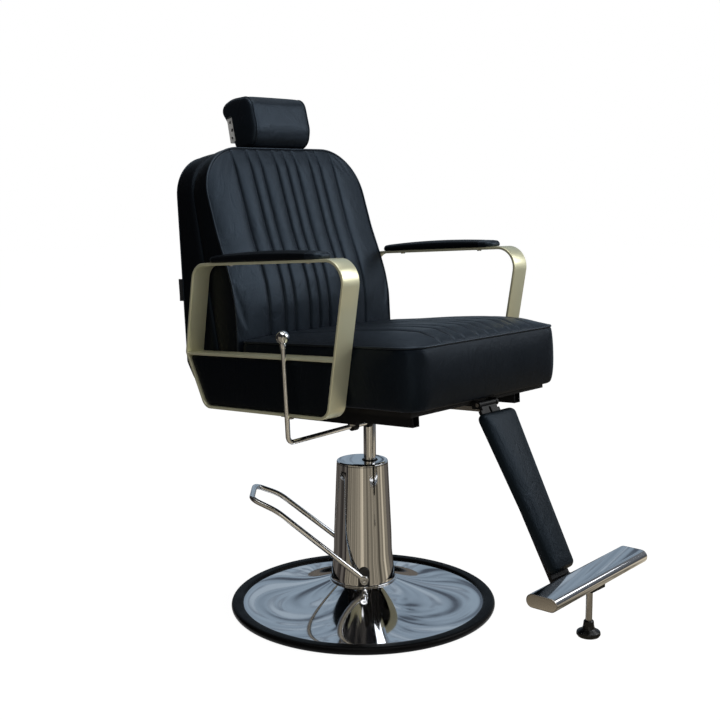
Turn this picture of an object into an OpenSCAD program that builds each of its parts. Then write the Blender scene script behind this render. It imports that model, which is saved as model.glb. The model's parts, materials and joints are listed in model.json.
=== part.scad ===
// Hydraulic barber chair with a reclining back, a rising leg rest and a sliding headrest.
// Millimetres, +Z up. The origin is on the floor under the centre of the round base.
// The sitter faces -Y, so the sitter's left is +X.

/* [Base] */
// Diameter of the rubber ring that stands on the floor
base_d = 600; // [520:5:700]
// Height of the rubber ring
ring_h = 17; // [12:1:24]
// Width of the rubber ring that shows outside the dish
ring_w = 27; // [18:1:34]
// Thickness of the chrome dish sheet
dish_t = 2; // [1.5:0.5:4]
// Height of the chrome dish where the pump cover stands on it
dish_h = 60; // [45:1:75]
// Thickness of the steel weight plate in the base
plate_t = 8; // [5:1:12]

/* [Pump] */
// Direction that the foot pedal points, in degrees from +X
pump_heading = 135; // [0:5:355]
// Outer diameter of the pump cover at its foot
cover_foot_d = 146; // [134:1:156]
// Outer diameter of the pump cover at its top
cover_top_d = 114; // [110:1:130]
// Height of the top of the pump cover's cap above the floor
cap_z = 336; // [315:1:345]
// Thickness of the cap's top
cap_t = 5; // [3:0.5:8]
// Thickness of the cover sheet
cover_t = 2; // [1.5:0.5:4]
// Diameter of the pump body inside the cover
pump_d = 92; // [88:1:100]
// Diameter of the lifting ram
ram_d = 28; // [24:0.5:32]
// Distance from the base centre to the ram axis, away from the pedal
ram_offset = 17; // [14:0.5:20]
// Radial running clearance of every shaft, ram and pin in its bore
run_gap = 0.05; // [0.02:0.01:0.1]
// Lowering travel from the height shown
lift_down = 74; // [40:1:74]
// Raising travel from the height shown
lift_up = 76; // [40:1:80]

/* [Pedal] */
// Diameter of the pedal's round bar
pedal_bar_d = 12; // [9:0.5:14]
// Reach of the pedal from its pivot
pedal_reach = 246; // [200:1:280]
// Height of the pedal's foot end above the floor
pedal_end_z = 264; // [220:1:290]
// Distance between the centres of the pedal's two arms at the pivot
pedal_span = 160; // [158:1:180]
// Height of the pedal's pivot above the floor
pedal_pivot_z = 83; // [78:1:88]
// Stroke of the pedal in degrees
pedal_stroke = 22; // [10:1:24]

/* [Seat] */
// Height of the seat board's underside above the ram axis foot
seat_z = 488; // [470:1:520]
// Backward slope of the seat in degrees
seat_slope = 3.6; // [0:0.1:6]
// Width of the seat cushion
cushion_w = 470; // [420:1:480]
// Distance from the ram axis to the cushion's front edge
cushion_front = 333; // [300:1:360]
// Distance from the ram axis to the cushion's rear edge
cushion_rear = 143; // [110:1:145]
// Height of the cushion from its underside to its top edge
cushion_h = 122; // [90:1:140]
// Rise of the seat cushion's crown above its edge
cushion_crown = 30; // [10:1:40]
// Thickness of the plywood seat board
board_t = 12; // [9:1:18]
// Width of the narrow sewn channels
narrow_channel = 31; // [20:0.5:36]
// Width of the wide sewn channels
wide_channel = 45.5; // [30:0.5:50]
// Depth of the sewn channel seams
channel_depth = 4.5; // [2:0.5:7]
// Height of the seat rails
rail_h = 28; // [22:1:34]
// Width of one seat rail
rail_w = 20; // [16:1:24]
// Distance between the two rails' centre lines
rail_span = 336; // [300:1:360]
// Thickness of the steel mounting plate
mount_t = 6; // [4:0.5:8]

/* [Arms] */
// Gap between the backrest and each arm frame
arm_side_gap = 10; // [5:1:30]
// Width of the arm frames' flat bar
arm_bar_w = 46; // [35:1:55]
// Thickness of the arm frames' flat bar
arm_bar_t = 6; // [4:0.5:8]
// Height of the arm frames' top above the cushion's underside
arm_top = 296; // [270:1:320]
// Height of the crossbar's top above the cushion's underside
arm_mid = 103; // [90:1:115]
// Depth of the arm frames' bottom below the cushion's underside
arm_drop = 17; // [12:1:17]
// Length of the arm pads
arm_pad_l = 334; // [300:1:370]
// Width of the arm pads
arm_pad_w = 52; // [46:1:60]
// Height of the arm pads at their ends
arm_pad_end_h = 14; // [12:1:20]
// Height of the arm pads at their middle
arm_pad_mid_h = 20; // [15:1:26]

/* [Back] */
// Width of the backrest at its sewn front edge
back_w = 480; // [440:1:486]
// Height of the backrest along its slope
back_h = 506; // [460:1:508]
// Backward lean of the backrest's board in degrees
back_lean = 12; // [6:1:20]
// Radius of the backrest's top corners
back_corner = 112; // [80:1:130]
// Thickness of the backrest board
back_board_t = 12; // [9:1:15]
// Rise of the backrest's crown above its sewn edge
back_crown = 14; // [6:1:18]
// Recline travel in degrees
recline_travel = 32; // [10:1:34]

/* [Headrest] */
// Width of the headrest
head_w = 180; // [150:1:220]
// Travel of the headrest's post
head_travel = 90; // [40:5:100]
// Width of the flat post
post_w = 32; // [24:1:36]
// Thickness of the flat post
post_t = 6; // [4:0.5:7]

/* [Leg rest] */
// Angle of the leg rest from vertical as shown, in degrees
leg_angle = 29.5; // [15:0.1:35]
// Rise of the leg rest in degrees as the back reclines
leg_travel = 48; // [20:1:50]
// Length of the calf pad
calf_l = 339; // [300:1:350]
// Width of the calf pad at its top
calf_top_w = 110; // [90:1:140]
// Width of the calf pad at its foot
calf_foot_w = 71; // [66:1:110]
// Thickness of the calf pad
calf_t = 24; // [18:1:28]
// Width of the leg rest's flat bar
leg_bar_w = 60; // [50:1:66]
// Thickness of the leg rest's flat bar
leg_bar_t = 8; // [6:1:9]
// Length of the foot bar
footbar_l = 350; // [300:1:420]
// Width of the foot bar from front to back
footbar_w = 64; // [50:1:74]
// Height of the foot bar
footbar_h = 26; // [20:1:32]
// Diameter of the rod under the foot bar
foot_rod_d = 13; // [10:0.5:16]

/* [Recline lever] */
// Diameter of the recline lever's rod
lever_d = 10; // [8:0.5:12]
// Diameter of the lever's ball
ball_d = 27; // [22:0.5:34]
// Gap between the arm frame and the middle of the lever's upright part
lever_side_gap = 15; // [12:1:29]
// Height of the ball above the lever's shaft
lever_h = 204; // [150:1:240]

/* [Hidden] */

// Clear width between the arm frames
arm_gap = back_w + 2 * arm_side_gap;
// Distance from the seat's middle to the upright part of the lever
lever_x = arm_gap / 2 + arm_bar_w + lever_side_gap;

$fn = 72;
eps = 0.01;          // overshoot of cutting solids
soft_gap = 0.3;      // clearance of a soft or curved piece from its neighbour
black = [0.05, 0.05, 0.06];
chrome = [0.75, 0.77, 0.8];
steel = [0.45, 0.46, 0.48];
gold = [0.66, 0.61, 0.45];
leather = [0.07, 0.08, 0.09];
stained = [0.06, 0.055, 0.05];

// Ram axis in the chair's frame
ram_x = -ram_offset * cos(pump_heading);
ram_y = -ram_offset * sin(pump_heading);

// ---- Frames that the groups are built in ----
// Pump frame: +X points along the pedal
module in_pump_frame() { rotate([0, 0, pump_heading]) children(); }
// Chair frame: origin at the foot of the ram axis
module in_chair_frame() { translate([ram_x, ram_y, 0]) children(); }
// Seat frame: origin at the cushion's underside over the ram, sloping with the seat
seat_top_z = seat_z + board_t;
module in_seat_frame() {
    in_chair_frame() translate([0, 0, seat_top_z]) rotate([-seat_slope, 0, 0]) children();
}

// ---- Small helpers ----
function unit(v) = v / norm(v);
function clamp(v, lo, hi) = max(lo, min(hi, v));
function lerp(a, b, t) = a + (b - a) * t;
// Height of a profile given as [position, height] pairs, on straight lines between them
function on_profile(p, s, i = 0) =
    s <= p[0][0] ? p[0][1] :
    i >= len(p) - 1 ? p[len(p) - 1][1] :
    s <= p[i + 1][0] ? lerp(p[i][1], p[i + 1][1], (s - p[i][0]) / (p[i + 1][0] - p[i][0])) :
    on_profile(p, s, i + 1);

// Points of an arc that rounds the corner b of the path a, b, c
function corner_arc(a, b, c, r, n) =
    let (
        u = unit(a - b),
        v = unit(c - b),
        half = acos(clamp(u * v, -1, 1)) / 2,
        centre = b + unit(u + v) * (r / sin(half)),
        w0 = b + u * (r / tan(half)) - centre,
        w1 = b + v * (r / tan(half)) - centre,
        turn = 180 - 2 * half
    )
    [for (k = [0 : n]) centre + (sin(turn * (1 - k / n)) * w0 + sin(turn * k / n) * w1) / sin(turn)];
// Closed outline with a radius at each corner
function rounded(pts, radii, n) =
    let (m = len(pts))
    [for (i = [0 : m - 1], q = corner_arc(pts[(i + m - 1) % m], pts[i], pts[(i + 1) % m], radii[i], n)) q];
// Open path with a radius at each inner corner
function rounded_path(pts, r, n) =
    let (m = len(pts))
    concat([pts[0]], [for (i = [1 : m - 2], q = corner_arc(pts[i - 1], pts[i], pts[i + 1], r, n)) q],
        [pts[m - 1]]);
// Outline moved inwards by d; the outline runs anticlockwise
function inset(pts, d) =
    let (m = len(pts))
    [for (i = [0 : m - 1])
        let (
            e0 = unit(pts[i] - pts[(i + m - 1) % m]),
            e1 = unit(pts[(i + 1) % m] - pts[i]),
            n0 = [-e0[1], e0[0]],
            n1 = [-e1[1], e1[0]]
        )
        pts[i] + (n0 + n1) * (d / (1 + n0 * n1))];

// Solid through rings of equal count, closed by a fan at each end
module skin(rings) {
    m = len(rings[0]);
    k = len(rings);
    first = [for (a = [0, 1, 2]) ring_mean(rings[0], a)];
    last = [for (a = [0, 1, 2]) ring_mean(rings[k - 1], a)];
    pts = concat([for (r = rings, p = r) p], [first, last]);
    sides = [for (j = [0 : k - 2], i = [0 : m - 1], t = [0, 1])
        let (i2 = (i + 1) % m)
        t == 0 ? [j * m + i, (j + 1) * m + i, j * m + i2] : [j * m + i2, (j + 1) * m + i, (j + 1) * m + i2]];
    ends = [for (i = [0 : m - 1], t = [0, 1])
        let (i2 = (i + 1) % m)
        t == 0 ? [k * m, i, i2] : [k * m + 1, (k - 1) * m + i2, (k - 1) * m + i]];
    polyhedron(points = pts, faces = concat(sides, ends), convexity = 6);
}
function ring_sum(r, a, i = 0) = i == len(r) ? 0 : r[i][a] + ring_sum(r, a, i + 1);
function ring_mean(r, a) = ring_sum(r, a) / len(r);

// Round bar along a path, as rings carried along without twist
function turn_back(v, t) = unit(v - t * (v * t));
function path_dir(p, i) =
    i == 0 ? unit(p[1] - p[0]) :
    i == len(p) - 1 ? unit(p[i] - p[i - 1]) :
    unit(unit(p[i + 1] - p[i]) + unit(p[i] - p[i - 1]));
function path_sides(p, v, i = 0) =
    i == len(p) ? [] :
    let (w = turn_back(v, path_dir(p, i)))
    concat([w], path_sides(p, w, i + 1));
module round_bar(path, d, sides, start_side) {
    u = path_sides(path, start_side);
    skin([for (i = [0 : len(path) - 1])
        let (t = path_dir(path, i), w = cross(t, u[i]))
        [for (j = [0 : sides - 1])
            path[i] + d / 2 * (cos(360 * j / sides) * u[i] + sin(360 * j / sides) * w)]]);
}

// ---- Base ----
base_r = base_d / 2;
dish_r = base_r - ring_w;
dish_foot_r = cover_foot_d / 2 + 1;
dish_edge_z = 12;
dish_curve = 1.7;      // how strongly the dish sweeps up to the column
dish_steps = 14;
function dish_z(r) =
    dish_edge_z + (dish_h - dish_edge_z) * pow((dish_r - r) / (dish_r - dish_foot_r), dish_curve);

module base_ring() {
    lip = 3;
    color(black) rotate_extrude($fn = 144) polygon(concat(
        [[dish_r - 8, 0]],
        [for (a = [-90 : 15 : 90]) let (r = ring_h / 2) [base_r - r + r * cos(a), r + r * sin(a)]],
        [[dish_r + 4, ring_h], [dish_r + 0.6, ring_h - 1], [dish_r + 0.3, dish_edge_z - dish_t - 0.6],
            [dish_r - 8, dish_edge_z - dish_t - lip]]));
}

module base_dish() {
    radii = [for (i = [0 : dish_steps]) lerp(dish_r, dish_foot_r, i / dish_steps)];
    hub_r = pump_d / 2 + 1;
    color(chrome) difference() {
        rotate_extrude($fn = 144) polygon(concat(
            [for (r = radii) [r, dish_z(r)]],
            [[hub_r, dish_h], [hub_r, dish_h - dish_t]],
            [for (i = [dish_steps : -1 : 0]) [radii[i], dish_z(radii[i]) - dish_t]]));
        in_pump_frame() for (s = [-1, 1]) translate([0, s * dish_bolt_r, 0])
            cylinder(d = dish_bolt_d, h = 100);
    }
}

sunk_z = 4.5;          // depth of the recesses that hold the pump bolts' heads
module base_plate() {
    color(black) difference() {
        cylinder(r = dish_r - 30, h = plate_t, $fn = 144);
        in_pump_frame() for (a = [45 : 90 : 315]) rotate([0, 0, a]) translate([pump_bolt_r, 0, 0]) {
            translate([0, 0, -1]) cylinder(d = pump_bolt_d, h = 20);
            translate([0, 0, -1]) cylinder(d = pump_bolt_head_d + 1, h = sunk_z + 1);
        }
    }
}

// ---- Pump ----
pump_z = plate_t;
pump_top_z = cap_z - cap_t - 31;
pump_bolt_r = 38;
pump_bolt_d = 8;
pump_bolt_head_d = 14;
bush_h = 32;
bush_t = 4;
oil_bore_r = ram_d / 2 + 2;
oil_bore_z = pedal_pivot_z + 13;
shaft_r = 6;
cam_reach = 26;
cam_r = 5;
plunger_r = 6;
plunger_drop = 14;
plunger_top_z = pedal_pivot_z - cam_r - 0.3;
plunger_bore_z = pump_z + 4;
plunger_l = 38;
cam_slot_w = 14;

module pump_body() {
    color(steel) in_pump_frame() difference() {
        translate([0, 0, pump_z]) cylinder(d = pump_d, h = pump_top_z - pump_z);
        // ram cylinder and the seat of its bush
        translate([-ram_offset, 0, oil_bore_z]) cylinder(r = oil_bore_r, h = pump_top_z);
        translate([-ram_offset, 0, pump_top_z - bush_h])
            cylinder(r = ram_d / 2 + run_gap + bush_t, h = bush_h + 1);
        // pedal shaft and the room for its cam
        translate([0, 0, pedal_pivot_z]) rotate([90, 0, 0])
            cylinder(r = shaft_r + run_gap, h = pump_d + 2, center = true);
        translate([-cam_r - 4, -cam_slot_w / 2, pedal_pivot_z - cam_reach])
            cube([pump_d, cam_slot_w, cam_reach + cam_r + 5]);
        // plunger bore
        translate([cam_reach, 0, plunger_bore_z]) cylinder(r = plunger_r + run_gap, h = pedal_pivot_z);
        // threads for the bolts through the base plate
        for (a = [45 : 90 : 315]) rotate([0, 0, a])
            translate([pump_bolt_r, 0, pump_z - eps]) cylinder(d = pump_bolt_d, h = 24);
    }
}

// Outer profile of the cover: flared foot, slim waist and a rounded shoulder
cover_profile = [[cover_foot_d / 2, dish_h], [cover_foot_d / 2 - 6, dish_h + 68],
    [cover_top_d / 2 + 3.6, cap_z - 40], [cover_top_d / 2 + 2.4, cap_z - 20],
    [cover_top_d / 2, cap_z - cap_t]];
module pump_cover() {
    cover_z = dish_h;
    slot_w = 2 * shaft_r + 10;
    k = len(cover_profile);
    color(chrome) in_pump_frame() difference() {
        rotate_extrude($fn = 120) polygon(concat(cover_profile,
            [for (i = [k - 1 : -1 : 0]) [cover_profile[i][0] - cover_t, cover_profile[i][1]]]));
        // openings for the pedal shaft's bezels
        translate([0, 0, pedal_pivot_z]) rotate([90, 0, 0])
            cylinder(d = slot_w, h = cover_foot_d + 20, center = true);
        translate([-slot_w / 2, -cover_foot_d / 2 - 10, cover_z - 1])
            cube([slot_w, cover_foot_d + 20, pedal_pivot_z - cover_z + 1]);
        // opening for the inspection plug
        rotate([0, 0, plug_heading]) translate([cover_top_d / 2 - 8, -plug_w / 2, plug_z])
            cube([20, plug_w, plug_h]);
    }
}

plug_heading = 43;
plug_w = 15;
plug_h = 12;
plug_z = 306;
module cover_plug() {
    g = 0.2;
    color(black) in_pump_frame() rotate([0, 0, plug_heading])
        translate([cover_top_d / 2 - 5, -plug_w / 2 + g, plug_z + g])
            cube([6.5, plug_w - 2 * g, plug_h - 2 * g]);
}

module pedal_bezels() {
    w = 2 * shaft_r + 10 - 0.4;
    seat_y = cover_foot_d / 2 - 5.3;
    color(black) in_pump_frame() for (s = [-1, 1]) difference() {
        union() {
            translate([0, s * (seat_y + 2.5), pedal_pivot_z]) rotate([90, 0, 0])
                cylinder(d = w, h = 5, center = true);
            translate([-w / 2, s * (seat_y + 2.5) - 2.5, dish_h + 0.2])
                cube([w, 5, pedal_pivot_z - dish_h]);
        }
        translate([0, s * seat_y, pedal_pivot_z]) rotate([90, 0, 0])
            cylinder(r = shaft_r + 0.5, h = 20, center = true);
    }
}

module pump_cap() {
    r = cover_top_d / 2;
    hole_r = ram_d / 2 + 3.5;
    color(chrome) in_pump_frame() difference() {
        rotate_extrude($fn = 120) polygon(concat(
            [[0, cap_z - cap_t], [r + 0.4, cap_z - cap_t]],
            [for (a = [0 : 22.5 : 90]) [r - 1.6 + 2 * cos(a), cap_z - 2 + 2 * sin(a)]],
            [[0, cap_z]]));
        translate([-ram_offset, 0, cap_z - 20]) cylinder(r = hole_r, h = 40);
    }
}

module ram_seal() {
    color(black) in_pump_frame() translate([-ram_offset, 0, 0]) rotate_extrude() polygon([
        [ram_d / 2 + 0.1, cap_z - cap_t - 3], [ram_d / 2 + 5, cap_z - cap_t - 3],
        [ram_d / 2 + 5, cap_z - cap_t], [ram_d / 2 + 3.5, cap_z - cap_t],
        [ram_d / 2 + 3.5, cap_z], [ram_d / 2 + 2.6, cap_z + 1.6], [ram_d / 2 + 0.1, cap_z + 1.6]]);
}

module ram_bush() {
    color([0.6, 0.45, 0.2]) in_pump_frame()
        translate([-ram_offset, 0, pump_top_z - bush_h]) difference() {
            cylinder(r = ram_d / 2 + run_gap + bush_t, h = bush_h);
            translate([0, 0, -1]) cylinder(r = ram_d / 2 + run_gap, h = bush_h + 2);
        }
}

dish_bolt_r = 86;
dish_bolt_d = 11;
module foot_bolts() {
    color(chrome) in_pump_frame() {
        // bolts that hold the dish, in line with the pedal's pivot
        for (s = [-1, 1]) translate([0, s * dish_bolt_r, pump_z]) {
            cylinder(d = dish_bolt_d, h = dish_z(dish_bolt_r) + 5 - pump_z);
            translate([0, 0, dish_z(dish_bolt_r) + 5 - pump_z]) cylinder(d1 = dish_bolt_d, d2 = 6, h = 3);
        }
        // bolts through the base plate into the pump body
        for (a = [45 : 90 : 315]) rotate([0, 0, a]) translate([pump_bolt_r, 0, 0]) {
            translate([0, 0, sunk_z - 3.5]) cylinder(d = pump_bolt_head_d, h = 3.5);
            translate([0, 0, sunk_z - eps]) cylinder(d = pump_bolt_d, h = 26);
        }
    }
}

module pump_plunger() {
    color(steel) in_pump_frame()
        translate([cam_reach, 0, plunger_top_z - plunger_l]) cylinder(r = plunger_r, h = plunger_l);
}

module plunger_spring() {
    color(steel) in_pump_frame() translate([cam_reach, 0, plunger_bore_z]) difference() {
        cylinder(r = plunger_r - 0.6, h = plunger_top_z - plunger_l - plunger_bore_z);
        translate([0, 0, -1]) cylinder(r = plunger_r - 2.6, h = 80);
    }
}

// ---- Pedal ----
module pedal_lever() {
    arm_y = pedal_span / 2;
    knee = [0.775 * pedal_reach, arm_y - 10, lerp(pedal_pivot_z, pedal_end_z, 0.865)];
    path = rounded_path([
        [0, arm_y, pedal_pivot_z], knee, [pedal_reach, 0.72 * arm_y, pedal_end_z],
        [pedal_reach, -0.72 * arm_y, pedal_end_z], [knee[0], -knee[1], knee[2]],
        [0, -arm_y, pedal_pivot_z]], 24, 5);
    color(chrome) in_pump_frame() difference() {
        union() {
            round_bar(path, pedal_bar_d, 12, [0, 1, 0]);
            for (s = [-1, 1]) translate([0, s * arm_y, pedal_pivot_z]) rotate([90, 0, 0])
                cylinder(r = shaft_r + 4, h = pedal_bar_d, center = true);
        }
        translate([0, 0, pedal_pivot_z]) rotate([90, 0, 0])
            cylinder(r = shaft_r, h = pedal_span + 40, center = true);
    }
}

module pedal_shaft() {
    l = pedal_span - 4;
    color(steel) in_pump_frame() translate([0, 0, pedal_pivot_z]) union() {
        rotate([90, 0, 0]) cylinder(r = shaft_r, h = l, center = true);
        translate([0, -cam_r, -cam_r]) cube([cam_reach + 2, 2 * cam_r, 2 * cam_r]);
    }
}

module pedal_bolts() {
    inner = pedal_span / 2 - 2;
    color(chrome) in_pump_frame() for (s = [-1, 1]) translate([0, 0, pedal_pivot_z])
        rotate([s * -90, 0, 0]) difference() {
            union() {
                translate([0, 0, inner]) cylinder(r = shaft_r, h = pedal_bar_d / 2 + 2);
                translate([0, 0, inner + pedal_bar_d / 2 + 2]) cylinder(r = shaft_r + 2.5, h = 6);
            }
            translate([0, 0, inner + pedal_bar_d / 2 + 4]) cylinder(r = 3.4, h = 10, $fn = 6);
        }
}

// ---- Ram ----
// The socket's blind bore ends under the seat's push bar
socket_bore_z = 461;
socket_foot_z = 421;
washer_h = 3;
ram_top_z = socket_bore_z - soft_gap - washer_h;
ram_foot_z = oil_bore_z + lift_down + 14;
module ram() {
    color(chrome) in_chair_frame()
        translate([0, 0, ram_foot_z]) cylinder(d = ram_d, h = ram_top_z - ram_foot_z);
}
module ram_piston() {
    color(black) in_chair_frame()
        translate([0, 0, ram_foot_z - 12]) cylinder(r = oil_bore_r - 0.1, h = 12);
}
module thrust_washer() {
    color(steel) in_chair_frame() translate([0, 0, ram_top_z]) cylinder(d = ram_d, h = washer_h);
}

// ---- Seat frame: everything below is in seat coordinates ----
rail_x = rail_span / 2;
rail_top = -board_t;
rail_foot = rail_top - rail_h;
rail_front = -279;
rail_rear = 212;
mount_front = -125;
mount_rear = 100;
back_pivot = [0, 195, -4];
leg_pivot = [0, -324, -14];
crank_leg = 14.8;                  // crank radius at the leg rest
link_travel = 2 * crank_leg * sin(leg_travel / 2);
crank_back = link_travel / 2 / sin(recline_travel / 2);
crank_pin_r = 3;
// A crank pin rises and falls a little as it swings, so each bar has an upright slot for it
leg_slot = [leg_pivot[1] + crank_leg * sin(leg_travel / 2),
    leg_pivot[2] - crank_leg * (1 + cos(leg_travel / 2)) / 2, crank_leg * (1 - cos(leg_travel / 2)) / 2];
back_slot = [back_pivot[1] + crank_back * sin(recline_travel / 2),
    back_pivot[2] - crank_back * (1 + cos(recline_travel / 2)) / 2,
    crank_back * (1 - cos(recline_travel / 2)) / 2];
bar_z = (leg_slot[1] + back_slot[1]) / 2;      // centre line of the push bar
module pin_slot(x, w, slot) {
    r = crank_pin_r + 0.35;
    for (s = [-1, 1]) translate([x, slot[0], slot[1] + s * slot[2]]) rotate([0, 90, 0])
        cylinder(r = r, h = w, center = true);
    translate([x - w / 2, slot[0] - r, slot[1] - slot[2]]) cube([w, 2 * r, 2 * slot[2]]);
}
push_x = 0;
push_w = 4;
strut_x = -45;

module swivel_socket() {
    color(black) in_chair_frame() difference() {
        union() {
            translate([0, 0, socket_foot_z]) cylinder(r = ram_d / 2 + 3, h = 16);
            translate([0, 0, socket_foot_z + 16]) cylinder(r = ram_d / 2 + 12, h = 60);
        }
        translate([0, 0, socket_foot_z - 1])
            cylinder(r = ram_d / 2 + run_gap, h = socket_bore_z - socket_foot_z + 1);
        // cut level with the top of its seat in the sloping frame
        translate([0, 0, seat_top_z]) rotate([-seat_slope, 0, 0])
            translate([-60, -60, rail_foot + 4]) cube([120, 120, 80]);
    }
}

module mount_plate() {
    color(black) difference() {
        in_seat_frame() translate([-rail_x - rail_w / 2, mount_front, rail_foot - mount_t])
            cube([rail_span + rail_w, mount_rear - mount_front, mount_t]);
        in_chair_frame() translate([0, 0, socket_foot_z]) cylinder(r = ram_d / 2 + 12, h = 90);
        in_seat_frame() for (x = [-rail_x, rail_x], y = [mount_front + 20, mount_rear - 20])
            translate([x, y, rail_foot - mount_t - 1]) cylinder(d = frame_bolt_d, h = mount_t + 2);
    }
}

frame_bolt_d = 8;
module seat_rails() {
    wall = 2.5;
    color(black) in_seat_frame() for (side = [-1, 1]) difference() {
        translate([side * rail_x - rail_w / 2, rail_front, rail_foot])
            cube([rail_w, rail_rear - rail_front, rail_h]);
        translate([side * rail_x - rail_w / 2 + wall, rail_front - 1, rail_foot + wall])
            cube([rail_w - 2 * wall, rail_rear - rail_front + 2, rail_h - 2 * wall]);
        for (y = [mount_front + 20, mount_rear - 20])
            translate([side * rail_x, y, rail_foot - 1]) cylinder(d = frame_bolt_d, h = wall + 2);
    }
}

module frame_bolts() {
    color(steel) in_seat_frame() for (x = [-rail_x, rail_x], y = [mount_front + 20, mount_rear - 20])
        translate([x, y, rail_foot - mount_t]) {
            translate([0, 0, -5]) cylinder(d = 13, h = 5, $fn = 6);
            cylinder(d = frame_bolt_d, h = mount_t + 8);
        }
}

hinge_pin_r = 5;
ear_t = 6;
ear_x = rail_x - rail_w / 2 - ear_t;       // inner face of each ear
module back_hinge_ears() {
    color(black) in_seat_frame() for (s = [-1, 1]) difference() {
        union() {
            translate([s > 0 ? ear_x : -ear_x - ear_t, back_pivot[1], back_pivot[2]])
                rotate([0, 90, 0]) cylinder(r = 15, h = ear_t);
            translate([s > 0 ? ear_x : -ear_x - ear_t, back_pivot[1] - 15, rail_foot])
                cube([ear_t, 30, back_pivot[2] - rail_foot]);
        }
        translate([0, back_pivot[1], back_pivot[2]]) rotate([0, 90, 0])
            cylinder(r = hinge_pin_r, h = 2 * rail_x, center = true);
    }
}

arm_plate_t = 6;
arm_plate_x = ear_x - 4 - arm_plate_t;     // inner face of each back arm
module back_hinge_pins() {
    color(steel) in_seat_frame() for (s = [0, 1]) mirror([s, 0, 0])
        translate([arm_plate_x + soft_gap, back_pivot[1], back_pivot[2]]) rotate([0, 90, 0])
            cylinder(r = hinge_pin_r, h = ear_x + ear_t - arm_plate_x - soft_gap);
}

leg_pin_r = 4;
lug_t = 6;
lug_x = 25;
module leg_hinge_bracket() {
    strip_l = 110;
    strip_w = 62;
    strip_y = leg_pivot[1] + 13;
    strip_t = 5;
    color(black) in_seat_frame() difference() {
        union() {
            translate([-strip_w / 2, strip_y, rail_top - strip_t]) cube([strip_w, strip_l, strip_t]);
            for (s = [-1, 1]) {
                translate([s * (lug_x + lug_t / 2), leg_pivot[1], leg_pivot[2]]) rotate([0, 90, 0])
                    cylinder(r = 8, h = lug_t, center = true);
                translate([s * (lug_x + lug_t / 2) - lug_t / 2, leg_pivot[1], leg_pivot[2] - 8])
                    cube([lug_t, 13, 16]);
            }
        }
        translate([0, leg_pivot[1], leg_pivot[2]]) rotate([0, 90, 0])
            cylinder(r = leg_pin_r, h = 200, center = true);
        // keep the board's seat clear
        translate([-lug_x - 20, strip_y, rail_top]) cube([2 * lug_x + 40, 60, 20]);
    }
}

module leg_hinge_pin() {
    color(steel) in_seat_frame() translate([0, leg_pivot[1], leg_pivot[2]]) rotate([0, 90, 0])
        cylinder(r = leg_pin_r, h = 2 * (lug_x + lug_t), center = true);
}

module seat_board() {
    edge = 16;
    color(stained) in_seat_frame() translate([-cushion_w / 2 + edge, leg_pivot[1] + 13, -board_t])
        cube([cushion_w - 2 * edge, cushion_rear - 6 - leg_pivot[1] - 13, board_t]);
}

// ---- Cushions: a grid with sewn channels on a bulging band ----
// Places of the seams across the middle, and columns that carry them
seams = [0, narrow_channel, narrow_channel + wide_channel, 2 * narrow_channel + wide_channel,
    2 * narrow_channel + 2 * wide_channel];
half_columns = [for (i = [1 : 4], m = [0, 1]) m == 0 ? (seams[i - 1] + seams[i]) / 2 : seams[i]];
function all_columns(edge) =
    let (right = concat(half_columns, edge))
    concat([for (i = [len(right) - 1 : -1 : 0]) -right[i]], [0], right);
function is_seam(x) = len([for (s = seams) if (abs(abs(x) - s) < 0.01) s]) > 0;
// Limits of column x in an outline with corner radius r
function cut_back(x, half_w, r) =
    abs(x) <= half_w - r ? 0 : r - sqrt(max(0, r * r - pow(abs(x) - half_w + r, 2)));

// columns, rows, [s0, s1, r0, r1] outline, top(x, s), edge(s), foot(s), band [[out, share], ...]
module quilted(cols, rows, half_w, s0, s1, r0, r1, top, edge, foot, band) {
    nc = len(cols);
    function lo(x) = s0 + cut_back(x, half_w, r0);
    function hi(x) = s1 - cut_back(x, half_w, r1);
    grid = [for (i = [0 : nc - 1], j = [0 : rows])
        let (s = lerp(lo(cols[i]), hi(cols[i]), j / rows), rim = i == 0 || i == nc - 1 || j == 0 || j == rows)
        [cols[i], s, rim ? edge(s) : top(cols[i], s)]];
    w = rows + 1;
    rim_ids = concat(
        [for (i = [0 : nc - 1]) i * w],
        [for (j = [1 : rows]) (nc - 1) * w + j],
        [for (i = [nc - 2 : -1 : 0]) i * w + rows],
        [for (j = [rows - 1 : -1 : 1]) j]);
    m = len(rim_ids);
    mid = (s0 + s1) / 2;
    function out_dir(p) =
        let (r = p[1] > mid ? r1 : r0,
            q = [clamp(p[0], -half_w + r, half_w - r), clamp(p[1], s0 + r0, s1 - r1)])
        unit([p[0], p[1]] - q);
    wall = [for (b = band, id = rim_ids)
        let (p = grid[id], n = out_dir(p) * b[0], q = [p[0] + n[0], p[1] + n[1]])
        [q[0], q[1], lerp(edge(p[1]), foot(q[1]), b[1])]];
    base_id = len(grid);
    k = len(band);
    centre_id = base_id + k * m;
    top_faces = [for (i = [0 : nc - 2], j = [0 : rows - 1], t = [0, 1])
        let (a = i * w + j)
        t == 0 ? [a, a + 1, a + w + 1] : [a, a + w + 1, a + w]];
    function ring_id(b, i) = b < 0 ? rim_ids[i % m] : base_id + b * m + i % m;
    side_faces = [for (b = [-1 : k - 2], i = [0 : m - 1], t = [0, 1])
        t == 0 ? [ring_id(b, i), ring_id(b, i + 1), ring_id(b + 1, i)] :
            [ring_id(b, i + 1), ring_id(b + 1, i + 1), ring_id(b + 1, i)]];
    foot_faces = [for (i = [0 : m - 1]) [ring_id(k - 1, i), ring_id(k - 1, i + 1), centre_id]];
    polyhedron(points = concat(grid, wall, [[0, mid, foot(mid)]]),
        faces = concat(top_faces, side_faces, foot_faces), convexity = 6);
}

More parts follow.
